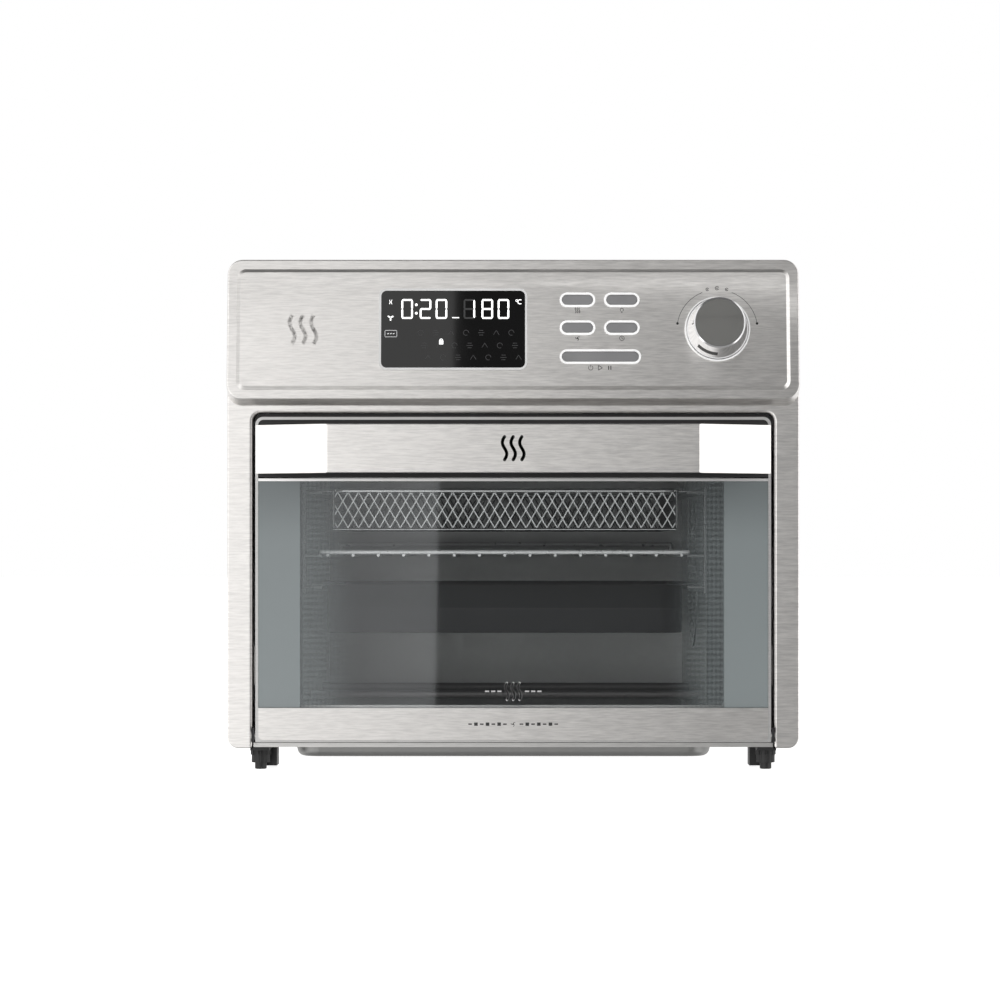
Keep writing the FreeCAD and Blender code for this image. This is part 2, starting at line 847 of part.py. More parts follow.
def door_parts():
    width, (low, high) = tray_inside(d.fit)
    box("door_glass", width, (d.glass_front, d.glass_front + d.glass_thick),
        (d.glass_low, d.glass_top))
    back = d.door_back - d.door_sheet
    base_low = d.glass_top + 0.9
    wall = 1.6
    base_front = d.door_front - 0.1
    half = width[1] - wall
    within_tray("handle_base", cut(
        "strip_shell",
        box("strip_block", width, (base_front, back), (base_low, high)),
        box("strip_hollow", (-half, half), (base_front + wall, back + 1),
            (base_low + wall, high - wall)),
    ))
    trim_high = d.glass_low - 0.2
    within_tray("door_bottom_trim", fuse(
        "trim_solid",
        box("trim_face", width, (d.door_front - 0.6, d.door_front + 0.2), (low, trim_high)),
        box("trim_shelf", width, (d.door_front, back), (low, low + d.metal)),
        box("trim_top", width, (d.door_front, back), (trim_high - d.metal, trim_high)),
    ))
    pins = []
    heads = []
    for side, sign in LEFT_AND_RIGHT:
        start = d.door_half if sign > 0 else -d.door_half - 2.2
        pins.append(rod(f"pin_{side}", d.pin_radius, (start, d.hinge_y, d.hinge_z), 2.2, "X"))
        for number, z in enumerate((222, 244)):
            heads.append(rod(
                f"door_screw_{side}_{number}", 3, (sign * 178.0, d.door_back, z), 0.8, "Y"
            ))
    group("hinge_pins", *pins)
    group("door_screws", *heads)


def door_handle():
    """Full-width steel handle: a flat middle, two swept-back ends and a closed top."""
    body = new_body("handle_body")
    half = d.door_half - 0.2
    root = d.door_front - 0.2
    front = d.handle_front
    flat = d.handle_flat
    inset = d.handle_metal
    band = sketch(body, "handle_band", "XY_Plane", d.handle_low)
    slope = 2.3
    outline(band, [
        (-half, root), (-flat, front), (flat, front), (half, root),
        (half - 4.6, root), (flat - slope * 0.2, front + inset + slope * 0.12),
        (-flat + slope * 0.2, front + inset + slope * 0.12), (-half + 4.6, root),
    ])
    pad(body, band, d.handle_high - d.handle_low)
    lid = sketch(body, "handle_lid", "XY_Plane", d.handle_high - inset)
    outline(lid, [(-half, root), (-flat, front), (flat, front), (half, root)])
    pad(body, lid, inset)
    root_y = root.value
    return round_edges(
        "door_handle", body, 0.9,
        lambda p: p.y < root_y - 0.05 and on_handle_skin(p),
    )


def on_handle_skin(point):
    """True on the outer face of the handle, flat middle and swept ends alike."""
    half = (d.door_half - 0.2).value
    root = (d.door_front - 0.2).value
    front = d.handle_front.value
    flat = d.handle_flat.value
    across = abs(point.x)
    if across <= flat:
        return abs(point.y - front) < 0.01
    skin = front + (across - flat) / (half - flat) * (root - front)
    return abs(point.y - skin) < 0.02


def hinge_parts():
    """Fixed hinge tabs, the door's curved arms and the springs that pull on them."""
    tabs, arms, springs = [], [], []
    y, z = d.hinge_y, d.hinge_z
    for side, sign in LEFT_AND_RIGHT:
        width = sorted_pair(sign * (d.door_half + 0.6), sign * (d.door_half + 2.1))
        tab = box(f"tab_{side}", width, (y - 4.5, d.mouth_y), (z - 4.8, z + 6))
        start = width[0] - 1
        tabs.append(cut(
            f"hinge_tab_{side}", tab,
            rod(f"tab_hole_{side}", d.pin_radius + d.running_fit, (start, y, z), 4, "X"),
        ))
        inner = d.arm_x if sign > 0 else -d.arm_x - d.arm_metal
        arms.append(fuse(f"door_arm_{side}", arm_arc(side, inner), box(
            f"arm_foot_{side}", (inner - 4, inner + 5.5), (d.door_back, d.door_back + 0.9), (62, 80)
        )))
        middle = inner + d.arm_metal * 0.5
        coil = rod(f"spring_coil_{side}", 4, (middle, -104, 24), 62, "Y")
        tail = rod(f"spring_tail_{side}", 1.2, (middle, -109, 24), 78, "Y")
        springs.append(fuse(f"spring_{side}", coil, tail))
    group("hinge_brackets", *tabs)
    group("door_arms", *arms)
    group("door_springs", *springs)


def arm_arc(side, start_x):
    """Flat arc about the hinge axis, from the door's back face round to just below level."""
    wheels = []
    for name, radius in (("outer", d.arm_outer), ("inner", d.arm_inner)):
        wheel = doc.addObject("Part::Cylinder", f"arm_{side}_{name}")
        bind(wheel, "Radius", radius)
        bind(wheel, "Height", d.arm_metal)
        wheel.Angle = 84 if name == "outer" else 360
        turn = Rotation(Vector(1, 0, 0), -6) * Rotation(Vector(0, 1, 0), 90) \
            * Rotation(Vector(0, 0, 1), 90)
        spot = Vector(start_x.value, d.hinge_y.value, d.hinge_z.value)
        wheel.Placement = Placement(spot, turn)
        wheels.append(wheel)
    return cut(f"arm_arc_{side}", *wheels)


# ---------------------------------------------------------------- cooking space


def mouth_frame():
    """Face plate around the mouth of the cooking space, with slots for the door's arms."""
    body = new_body("mouth_frame")
    back = d.mouth_y + d.metal
    face = sketch(body, "mouth_face", "XZ_Plane", -back)
    rounded(face, (-188.4, 188.4), (19.2, d.opening_top - 0.3), 5)
    rounded(face, (d.cavity_left, d.cavity_right), (d.cavity_low, d.cavity_high), 6)
    for side, sign in LEFT_AND_RIGHT:
        middle = sign * (d.arm_x + d.arm_metal * 0.5)
        rounded(face, (middle - 2.6, middle + 2.6), (66, 82), 1)
    pad(body, face, d.metal)
    return body


HEATER_Y = (-55, 75)
HEATER_LEVELS = {"lower": 50, "upper": 233}


def cavity():
    """Five sheets of the oven's inner box."""
    left, right = d.cavity_left, d.cavity_right
    depth = (d.mouth_y + d.metal + 0.2, d.cavity_back)
    low, high = d.cavity_low, d.cavity_high
    metal = d.metal
    tall = (low - metal, high + metal)
    bores = {"left": [], "right": []}
    for level, z in HEATER_LEVELS.items():
        for y in HEATER_Y:
            for side, x in (("left", left - 6), ("right", right - 3)):
                name = f"heater_hole_{side}_{level}_{y}".replace("-", "m")
                bores[side].append(rod(name, d.heater_radius + 0.3, (x, y, z), 9, "X"))
    cut("cavity_wall_left", box("wall_left", (left - metal, left), depth, tall), *bores["left"])
    fan_hole = rod("fan_hole", d.fan_radius + 5, (right - 3, d.fan_y, d.fan_z), 9, "X")
    cut(
        "cavity_wall_right", box("wall_right", (right, right + metal), depth, tall),
        fan_hole, *bores["right"],
    )
    box("cavity_ceiling", (left, right), depth, (high, high + metal))
    box("cavity_floor", (left, right), depth, (low - metal, low))
    rear = (d.cavity_back, d.cavity_back + metal)
    box("cavity_back", (left - metal, right + metal), rear, tall)


def rack_guide(side, sign):
    """Upright strap on a side wall with three ledges."""
    wall = d.cavity_left if sign < 0 else d.cavity_right
    inward = -sign
    strap = sorted_pair(wall + inward * d.fit, wall + inward * (d.fit + d.strap_metal))
    reach = sorted_pair(wall + inward * d.strap_metal, wall + inward * d.ledge_reach)
    if sign < 0:
        pieces = [box("strap_left", strap, (-140, 150), (128, 206))]
    else:
        pieces = [
            box("strap_right_front", strap, (-140, d.fan_y - d.fan_radius - 8), (128, 206)),
            box("strap_right_rear", strap, (d.fan_y + d.fan_radius + 8, 150), (128, 206)),
        ]
    for name, level in (
        ("basket", d.basket_level), ("rack", d.rack_level), ("pan", d.pan_level)
    ):
        pieces.append(box(
            f"ledge_{side}_{name}", reach, (-140, 150), (level - d.ledge_metal, level)
        ))
    return fuse(f"rack_guide_{side}", *pieces)


def sorted_pair(a, b):
    return tuple(sorted((a, b), key=float))


def heaters():
    """Four sheathed rods across the oven, and the ceramic ends outside its walls."""
    ends = []
    start = d.cavity_left - 14
    length = d.cavity_right + 14 - start
    for level, z in HEATER_LEVELS.items():
        rods = []
        for number, y in enumerate(HEATER_Y):
            rods.append(rod(f"{level}_rod_{number}", d.heater_radius, (start, y, z), length, "X"))
            for side, x in (("left", d.cavity_left - 12), ("right", d.cavity_right + 1.5)):
                name = f"ceramic_{level}_{number}_{side}"
                ends.append(cut(
                    name,
                    rod(f"{name}_body", 6, (x, y, z), 10.5, "X"),
                    rod(f"{name}_bore", d.heater_radius + 0.05, (x - 1, y, z), 13, "X"),
                ))
        group(f"{level}_heaters", *rods)
    group("heater_insulators", *ends)


def fan_parts():
    """Slotted guard, cup, impeller, shaft and motor on the right wall."""
    x = d.cavity_right
    y, z = d.fan_y, d.fan_z
    slots = []
    for ring_number, radius in enumerate((14, 26, 38, 49)):
        count = 8 * (ring_number + 1)
        for number in range(count):
            angle = 2 * math.pi * number / count
            spot = (x - 4, y + radius * math.cos(angle), z + radius * math.sin(angle))
            slots.append(rod(f"guard_hole_{ring_number}_{number}", 3, spot, 8, "X"))
    disc = rod("guard_disc", d.fan_radius + 7.5, (x - d.fit - 0.8, y, z), 0.8, "X")
    cut("fan_guard", disc, *slots)
    outside = x + d.metal
    cut(
        "fan_housing",
        rod("cup_outer", d.fan_radius + 7, (outside, y, z), 20, "X"),
        rod("cup_inner", d.fan_radius + 6, (outside - 1, y, z), 20, "X"),
        rod("cup_bore", d.shaft_radius + 1, (outside, y, z), 30, "X"),
    )
    shaft_start = outside + 3
    rod("fan_shaft", d.shaft_radius, (shaft_start, y, z), 26, "X")
    hub_bore = d.shaft_radius + 0.02
    blades = [rod("fan_hub", 9, (outside + 4, y, z), 12, "X"),
              rod("fan_plate", 20, (outside + 13, y, z), 1.2, "X")]
    for number in range(8):
        blade = doc.addObject("Part::Box", f"fan_blade_{number}")
        bind(blade, "Length", 9)
        bind(blade, "Width", 1.2)
        bind(blade, "Height", d.fan_radius - 7)
        turn = Rotation(Vector(1, 0, 0), 45 * number) * Rotation(Vector(0, 0, 1), 28)
        lift = Rotation(Vector(1, 0, 0), 45 * number).multVec(Vector(0, -0.6, 7))
        spot = Vector((outside + 5.5).value, y.value, z.value) + lift
        blade.Placement = Placement(spot, turn)
        blades.append(blade)
    hub = cut("fan_boss", blades[0], rod("hub_bore", hub_bore, (outside, y, z), 30, "X"))
    plate = cut("fan_disc", blades[1], rod("disc_bore", 5, (outside, y, z), 30, "X"))
    fuse("fan_impeller", hub, plate, *blades[2:]).Refine = False
    motor_x = outside + 20.4
    cut(
        "fan_motor",
        fuse(
            "motor_solid",
            rod("motor_case", 26, (motor_x + 3, y, z), 28, "X"),
            box("motor_plate", (motor_x, motor_x + 3), (y - 40, y + 40), (z - 14, z + 14)),
        ),
        rod("motor_bore", d.shaft_radius + d.running_fit, (motor_x - 1, y, z), 16, "X"),
    )


def oven_fittings():
    """Lamp glass, temperature probe and the power board above the cooking space."""
    lamp_y, lamp_z = 110, 222
    fuse(
        "oven_lamp",
        rod("lamp_dome", 9, (d.cavity_right - 6, lamp_y, lamp_z), 5, "X", end_radius=13),
        rod("lamp_rim", 14, (d.cavity_right - 1.6, lamp_y, lamp_z), 1.5, "X"),
    )
    rear = d.cavity_back
    fuse(
        "temperature_probe",
        rod("probe_stem", 2.2, (100, rear - 70, 226), 69.9, "Y"),
        rod("probe_flange", 7, (100, rear - 1.6, 226), 1.5, "Y"),
    )
    board_z = d.cavity_high + 14
    fuse(
        "power_board",
        box("power_sheet", (-60, 90), (-40, 80), (board_z, board_z + 1.6)),
        box("transformer", (-45, -5), (0, 38), (board_z + 1, board_z + 32)),
        box("relay_one", (20, 40), (10, 26), (board_z + 1, board_z + 17)),
        box("relay_two", (50, 70), (10, 26), (board_z + 1, board_z + 17)),
        rod("capacitor", 8, (0, -22, board_z + 1), 24),
        box("heat_sink", (30, 75), (-30, -20), (board_z + 1, board_z + 26)),
        box("board_post_left", (-58, -52), (-38, -32), (d.cavity_high + d.metal, board_z + 1)),
        box("board_post_right", (82, 88), (72, 78), (d.cavity_high + d.metal, board_z + 1)),
    )


# ---------------------------------------------------------------- loose pieces


def wire_rack():
    """Bent-wire frame with fifteen wires below its bars and a raised stop along its rear."""
    bar = 1.6
    wire = 1.1
    z = d.rack_level + d.slack + bar
    left, right, front, rear = -141.4, 128.9, -132.4, 118.0
    pieces = []
    for name, x in (("left", left), ("right", right)):
        pieces.append(rod(f"rack_bar_{name}", bar, (x, front, z), rear - front, "Y"))
    for name, y in (("front", front), ("middle", -6.0), ("rear", rear)):
        pieces.append(rod(f"rack_bar_{name}", bar, (left, y, z), right - left, "X"))
    stop_rise = 6.2
    corners = [(x, y, z) for x in (left, right) for y in (front, rear)]
    corners += [(x, rear, z + stop_rise) for x in (left, right)]
    for number, corner in enumerate(corners):
        ball = doc.addObject("Part::Sphere", f"rack_corner_{number}")
        bind(ball, "Radius", bar)
        place(ball, corner, Rotation(), None)
        pieces.append(ball)
    for name, x in (("left", left), ("right", right)):
        pieces.append(rod(f"rack_stop_post_{name}", bar, (x, rear, z), stop_rise))
    stop = rod("rack_stop_bar", bar, (left, rear, z + stop_rise), right - left, "X")
    pieces.append(stop)
    middle = (left + right) / 2
    for number in range(15):
        x = middle + (number - 7) * 18.6
        spot = (x, front - 2.4, z - bar - 0.6)
        pieces.append(rod(f"rack_wire_{number}", wire, spot, rear - front + 4.8, "Y"))
    return fuse("wire_rack", *pieces)


def air_fry_basket():
    """Open tray with a wire rim and four tabs that hang on the top ledges."""
    left, right, front, rear = -133.0, 121.0, -122.0, 112.0
    level = d.basket_level + d.slack
    wall = 0.8
    inside = (left + wall, right - wall), (front + wall, rear - wall)
    tub = cut(
        "basket_tub",
        box("basket_outer", (left, right), (front, rear), (level - 28, level + 1.5)),
        box("basket_inner", *inside, (level - 28 + wall, level + 4)),
    )
    rim = cut(
        "basket_rim",
        box("rim_outer", (left - 2.4, right + 2.4), (front - 2.4, rear + 2.4),
            (level, level + 2.6)),
        box("rim_inner", *inside, (level - 1, level + 4)),
    )
    tabs = []
    for number, y in enumerate((-70, 60)):
        for side, x in (("left", (-147.5, left)), ("right", (right, 135.0))):
            tabs.append(box(f"basket_tab_{side}_{number}", x, (y - 7, y + 7), (level, level + 1.6)))
    return fuse("air_fry_basket", tub, rim, *tabs)


def baking_pan():
    """Enamelled pan with rounded corners and a flat rim on the lower ledges."""
    body = new_body("pan_body")
    rim_z = d.pan_level + d.slack
    x, y = (-138, 125.5), (-126, 118)
    deep = 35.0
    wall = sketch(body, "pan_wall", "XY_Plane", rim_z)
    rounded(wall, x, y, 16)
    pad(body, wall, deep, backwards=True)
    rim = sketch(body, "pan_flange", "XY_Plane", rim_z)
    rounded(rim, (-150, 137.5), (-131, 123), 20)
    pad(body, rim, 1.0)
    inside = sketch(body, "pan_inside", "XY_Plane", rim_z + 1)
    rounded(inside, (x[0] + d.metal, x[1] - d.metal), (y[0] + d.metal, y[1] - d.metal), 15.3)
    pocket(body, inside, deep + 1 - d.metal)
    under = rim_z.value - deep
    return round_edges("baking_pan", body, 0.6, lambda p: abs(p.z - under) < 0.01)


def crumb_tray():
    left, right, front, rear = -147.0, 134.5, -139.0, 150.0
    low = d.cavity_low + 0.4
    outer = box("crumb_outer", (left, right), (front, rear), (low, low + 5.5))
    wall = d.metal
    inner = box(
        "crumb_inner", (left + wall, right - wall), (front + wall, rear - wall),
        (low + wall, low + 12),
    )
    return cut("crumb_tray", outer, inner)


def write_parts(names):
    doc.recompute()
    bad = [o.Name for o in doc.Objects if {"Invalid", "Error"} & set(o.State)]
    if bad:
        raise RuntimeError(f"failed objects: {bad}")
    os.makedirs("parts", exist_ok=True)
    for name in names:
        piece = doc.getObject(name)
        shape = piece.Shape
        if shape.isNull() or not shape.isValid() or not shape.Solids:
            raise RuntimeError(f"{name}: no valid solid")
        piece.Label = name
        shape.exportStep(f"parts/{name}.step")
        print(name, len(shape.Solids), round(shape.Volume))


def main():
    front_frame()
    outer_cabinet()
    rear_panel()
    base_plate()
    base_pan()
    screws()
    cord_gland()
    control_panel()
    display()
    button_parts()
    control_board()
    knob_parts()
    door_frame()
    door_parts()
    door_handle()
    hinge_parts()
    mouth_frame()
    cavity()
    heaters()
    fan_parts()
    oven_fittings()
    wire_rack()
    air_fry_basket()
    baking_pan()
    crumb_tray()
    sides = []
    for side, sign in LEFT_AND_RIGHT:
        foot(side, sign)
        rear_foot(side, sign)
        rack_guide(side, sign)
        sides += [f"front_foot_{side}", f"rear_foot_{side}", f"rack_guide_{side}"]
    write_parts([
        "front_frame", "outer_cabinet", "rear_panel", "base_plate", "base_pan",
        "cabinet_screws", "cord_gland", "control_panel", "display_bezel", "display_window",
        "display_module", "button_rims", *SMALL_BUTTONS, *LONG_BUTTON, "control_board",
        "encoder", "encoder_shaft", "knob_ring", "knob", "knob_cap", "door_frame",
        "door_glass", "handle_base", "door_bottom_trim", "hinge_pins", "door_screws",
        "door_handle", "hinge_brackets", "door_arms", "door_springs", "mouth_frame",
        "cavity_wall_left", "cavity_wall_right", "cavity_ceiling", "cavity_floor",
        "cavity_back", "lower_heaters", "upper_heaters", "heater_insulators", "fan_guard",
        "fan_housing", "fan_shaft", "fan_impeller", "fan_motor", "oven_lamp",
        "temperature_probe", "power_board", "wire_rack", "air_fry_basket", "baking_pan",
        "crumb_tray", *sides,
    ])


main()
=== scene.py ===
import math

import bmesh
import bpy
from mathutils import Matrix, Vector


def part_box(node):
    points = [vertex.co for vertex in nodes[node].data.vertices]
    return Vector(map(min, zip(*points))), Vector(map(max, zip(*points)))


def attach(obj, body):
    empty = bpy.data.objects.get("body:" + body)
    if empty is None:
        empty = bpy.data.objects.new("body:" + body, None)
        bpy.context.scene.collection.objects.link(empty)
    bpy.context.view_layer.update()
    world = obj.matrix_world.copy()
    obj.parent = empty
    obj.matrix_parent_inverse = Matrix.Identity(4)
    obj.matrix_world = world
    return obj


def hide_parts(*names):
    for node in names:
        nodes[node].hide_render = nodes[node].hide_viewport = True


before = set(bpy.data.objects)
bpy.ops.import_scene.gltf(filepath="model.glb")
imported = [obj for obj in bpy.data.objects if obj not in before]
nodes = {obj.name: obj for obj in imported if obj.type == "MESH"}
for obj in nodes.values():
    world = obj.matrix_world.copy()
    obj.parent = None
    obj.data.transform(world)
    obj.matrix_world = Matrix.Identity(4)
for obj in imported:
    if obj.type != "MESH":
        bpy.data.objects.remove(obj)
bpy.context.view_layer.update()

MM = 0.001
PANEL_TILT = math.radians(7.0)
RIGHT = Vector((1, 0, 0))
UP = Vector((0, math.sin(PANEL_TILT), math.cos(PANEL_TILT)))
OUT = Vector((0, -math.cos(PANEL_TILT), math.sin(PANEL_TILT)))
PRINT = 0.08 * MM
STEEL_TONE = (0.765, 0.75, 0.735)


# ---------------------------------------------------------------- shader graphs


class Level:
    """A number that changes over a surface. Arithmetic on it adds the nodes it needs."""

    def __init__(self, graph, socket):
        self.graph = graph
        self.socket = socket

    def calc(self, operation, *terms):
        sockets = dict(enumerate((self,) + terms))
        node = self.graph.add("ShaderNodeMath", {"operation": operation}, sockets)
        return Level(self.graph, node.outputs[0])

    def __add__(self, other):
        return self.calc("ADD", other)

    __radd__ = __add__

    def __sub__(self, other):
        return self.calc("SUBTRACT", other)

    def __rsub__(self, other):
        return self.calc("MULTIPLY", -1.0).calc("ADD", other)

    def __mul__(self, other):
        return self.calc("MULTIPLY", other)

    __rmul__ = __mul__

    def __abs__(self):
        return self.calc("ABSOLUTE")

    def between(self, low, high):
        """0 below low, 1 above high and smooth between them."""
        node = self.graph.add("ShaderNodeMapRange", {"interpolation_type": "SMOOTHSTEP"},
                              {"Value": self, "From Min": low, "From Max": high})
        return Level(self.graph, node.outputs["Result"])

    def wave(self, pitch):
        """0 to 1 and back over every pitch."""
        return (self * (2 * math.pi / pitch)).calc("COSINE") * 0.5 + 0.5


class Graph:
    """The node tree of a material or of the studio's surroundings."""

    def __init__(self, tree):
        self.tree = tree
        tree.nodes.clear()

    def add(self, kind, settings=(), sockets=()):
        """New node, with its settings made first and its sockets fed after them."""
        node = self.tree.nodes.new(kind)
        for key, value in dict(settings).items():
            setattr(node, key, value)
        for key, value in dict(sockets).items():
            self.feed(node.inputs[key], value)
        return node

    def feed(self, socket, value):
        """Link a socket, or set it when the value is a plain one."""
        if isinstance(value, Level):
            value = value.socket
        if isinstance(value, bpy.types.NodeSocket):
            self.tree.links.new(value, socket)
        else:
            socket.default_value = value

    def level(self, node, output=0):
        return Level(self, node.outputs[output])

    def place(self):
        """Object coordinates, in metres, as one vector and as three numbers."""
        spot = self.add("ShaderNodeTexCoord").outputs["Object"]
        parts = self.add("ShaderNodeSeparateXYZ", (), {0: spot})
        return spot, [Level(self, parts.outputs[i]) for i in range(3)]

    def stretched(self, spot, scale):
        """Coordinates pulled out by a different amount on each axis."""
        return self.add("ShaderNodeMapping", (), {"Vector": spot, "Scale": scale}).outputs[0]

    def noise(self, spot, scale=1.0, detail=2.0, rough=0.5):
        node = self.add("ShaderNodeTexNoise", (), {
            "Vector": spot, "Scale": scale, "Detail": detail, "Roughness": rough,
        })
        return self.level(node, "Fac")

    def blend(self, amount, first, second):
        """A colour between two colours."""
        node = self.add("ShaderNodeMix", {"data_type": "RGBA"},
                        {0: amount, 6: rgba(first), 7: rgba(second)})
        return node.outputs[2]


def rgba(colour):
    """A tone as a socket takes it; a link stays a link."""
    if isinstance(colour, bpy.types.NodeSocket):
        return colour
    return (*colour, 1.0)


def shaded(tone, amount, lift=0.0):
    """A tone made darker or lighter, and lifted evenly if asked."""
    return tuple(min(1.0, part * amount + lift) for part in tone)


class Finish(Graph):
    """A material around one Principled shader."""

    def __init__(self, name, colour, rough, metal=0.0, **constants):
        self.material = bpy.data.materials.new(name)
        self.material.use_nodes = True
        super().__init__(self.material.node_tree)
        self.shader = self.add("ShaderNodeBsdfPrincipled", (), {
            "Base Color": rgba(colour), "Roughness": rough, "Metallic": metal,
        })
        for key, value in constants.items():
            self.feed(self.shader.inputs[key.replace("_", " ")], value)
        self.output = self.add("ShaderNodeOutputMaterial", (), {
            "Surface": self.shader.outputs[0],
        })
        self.spot, (self.x, self.y, self.z) = self.place()

    def vary(self, **sockets):
        """Feed shader inputs that change over the surface."""
        for key, value in sockets.items():
            self.feed(self.shader.inputs[key.replace("_", " ")], value)

    def bump(self, height, strength, distance):
        node = self.add("ShaderNodeBump", (), {
            "Height": height, "Strength": strength, "Distance": distance,
        })
        self.vary(Normal=node.outputs[0])


# ---------------------------------------------------------------- finishes


def brushed_steel(name, tone, rough=0.34, streak=1.0, pull=0.75):
    """Stainless sheet, brushed from side to side on its upright and its level faces.

    Pull is how far the brushing draws a highlight out across the hairlines.
    """
    along, across = 85.0, 900.0
    steel = Finish(name, tone, rough, 1.0, Anisotropic=pull, Anisotropic_Rotation=0.25)
    upright = steel.stretched(steel.spot, (along, along, across))
    level = steel.stretched(steel.spot, (along, across, along))
    facing = steel.add("ShaderNodeNewGeometry").outputs["Normal"]
    normal_z = steel.level(steel.add("ShaderNodeSeparateXYZ", (), {0: facing}), 2)
    lying = abs(normal_z).between(0.6, 0.8)
    on_wall = steel.noise(upright, 1.0, 3.0, 0.6) * (1 - lying)
    on_top = steel.noise(level, 1.0, 3.0, 0.6) * lying
    fine = on_wall + on_top
    coarse = steel.noise(steel.stretched(steel.spot, (24.0, 24.0, 330.0)), 1.0, 2.0)
    cloud = steel.noise(steel.spot, 9.0, 2.0)
    grain = (fine - 0.5) * (1.15 * streak) + (coarse - 0.5) * (0.25 * streak)
    dark = shaded(tone, 0.80)
    light = shaded(tone, 1.18)
    steel.vary(
        Base_Color=steel.blend((grain + 0.5).between(0.0, 1.0), dark, light),
        Roughness=grain * 0.12 + (cloud - 0.5) * 0.02 + rough,
    )
    steel.bump(fine, 0.10 * streak, 0.0002)
    return steel.material


def sheet_steel(name, tone, rough=0.42, metal=0.9):
    """Aluminised sheet for the hidden and inner panels, faintly spangled."""
    sheet = Finish(name, tone, rough, metal)
    spangle = sheet.noise(sheet.spot, 160.0, 3.0)
    stain = sheet.noise(sheet.spot, 12.0, 3.0)
    dark = shaded(tone, 0.72)
    sheet.vary(
        Base_Color=sheet.blend(spangle * 0.5 + stain * 0.5, dark, tone),
        Roughness=(spangle - 0.5) * 0.18 + (stain - 0.5) * 0.12 + rough,
    )
    sheet.bump(spangle, 0.03, 0.0002)
    return sheet.material


def chrome(name, tone=(0.86, 0.86, 0.87), rough=0.07):
    """Bright plating with the faint haze of handling."""
    plate = Finish(name, tone, rough, 1.0)
    haze = plate.noise(plate.spot, 45.0, 3.0)
    scratch = plate.noise(plate.stretched(plate.spot, (60.0, 60.0, 1500.0)), 1.0, 2.0)
    plate.vary(
        Base_Color=plate.blend(haze, shaded(tone, 0.93), tone),
        Roughness=(haze - 0.5) * 0.05 + (scratch - 0.5) * 0.03 + rough,
    )
    plate.bump(scratch, 0.03, 0.0001)
    return plate.material


def moulded(name, tone, rough=0.5, grain=1400.0, strength=0.25):
    """Moulded plastic with a spark-eroded texture."""
    plastic = Finish(name, tone, rough)
    pebble = plastic.noise(plastic.spot, grain, 2.0)
    wear = plastic.noise(plastic.spot, 40.0, 3.0)
    plastic.vary(
        Base_Color=plastic.blend(wear, tone, shaded(tone, 1.35, 0.004)),
        Roughness=(wear - 0.5) * 0.16 + (pebble - 0.5) * 0.1 + rough,
    )
    plastic.bump(pebble, strength, 0.0001)
    return plastic.material


def spun_cap(name, tone, middle):
    """Metal disc turned on a lathe: fine rings about its middle and a soft cross of light."""
    disc = Finish(name, tone, 0.36, 1.0, Anisotropic=0.25)
    across = disc.x - middle.x
    height = disc.z - middle.z
    radius = (across * across + height * height).calc("SQRT")
    rings = disc.add("ShaderNodeTexNoise", {"noise_dimensions": "1D"}, {
        "W": radius, "Scale": 2600.0, "Detail": 3.0,
    })
    ring = disc.level(rings, "Fac")
    disc.vary(
        Base_Color=disc.blend(ring, shaded(tone, 0.82), shaded(tone, 1.12)),
        Roughness=(ring - 0.5) * 0.15 + 0.36,
    )
    disc.bump(ring, 0.12, 0.0001)
    return disc.material


def gloss_black(name, tone=(0.0012, 0.0012, 0.0013)):
    """Polished black window with a few wipe marks."""
    window = Finish(name, tone, 0.03, 0.0, Specular_IOR_Level=0.42)
    wipe = window.noise(window.stretched(window.spot, (60.0, 60.0, 18.0)), 1.0, 3.0)
    window.vary(
        Base_Color=window.blend(wipe, tone, shaded(tone, 1.5)),
        Roughness=wipe.between(0.35, 0.9) * 0.02 + 0.02,
    )
    return window.material


def glass_pane(name, low, high):
    """Door glass: solid printed borders at both sides, a weave that fades inward, clear middle.
    The print carries painted shade that darkens it towards the top, and a painted shadow of the
    handle along its top.
    """
    clear_left, clear_right = -154.8 * MM, 153.0 * MM
    blur = 0.6 * MM
    fade_width = 44.0 * MM
    handle_shadow_height = 50.0 * MM
    tone = (0.185, 0.208, 0.212)
    pane = Finish(name, tone, 0.05, Specular_IOR_Level=0.0)
    # painted shade on the print: a little darker towards the top, and a painted shadow of the
    # handle over the top 50 mm
    shade = pane.z.between(low, high) * 0.2 + pane.z.between(high - handle_shadow_height, high) * 0.55
    clear_half = (clear_right - clear_left) / 2
    edge = abs(pane.x - (clear_left + clear_right) / 2)
    band = edge.between(clear_half - blur, clear_half + blur)
    across = pane.x.wave(3.1 * MM)
    along = pane.z.wave(4.1 * MM)
    fade = edge.between(clear_half - fade_width, clear_half)
    printed = (across * 0.10 + along * 0.14 + 0.16) * fade
    smear = pane.noise(pane.stretched(pane.spot, (7.0, 7.0, 14.0)), 1.0, 3.0)
    paint_amount = (band + printed).calc("MINIMUM", 1.0)
    tint = pane.add("ShaderNodeBsdfTransparent", (), {"Color": rgba((0.93, 0.94, 0.94))})
    body = pane.add("ShaderNodeMixShader", (), {
        0: paint_amount, 1: tint.outputs[0], 2: pane.shader.outputs[0],
    })
    mirror = pane.add("ShaderNodeBsdfAnisotropic", (), {
        "Color": rgba((0.95, 0.97, 1.0)), "Roughness": 0.015,
    })
    head_on = 0.04
    slant = pane.level(pane.add("ShaderNodeLayerWeight", (), {"Blend": 0.5}), "Facing")
    gloss = slant.calc("POWER", 5.0) * (1 - head_on) + head_on
    surface = pane.add("ShaderNodeMixShader", (), {
        0: gloss * (smear * 0.15 + 0.75), 1: body.outputs[0], 2: mirror.outputs[0],
    })
    pane.vary(
        Base_Color=pane.blend(shade, tone, shaded(tone, 0.5)),
        Roughness=smear * 0.08 + 0.04,
    )
    pane.feed(pane.output.inputs["Surface"], surface.outputs[0])
    return pane.material


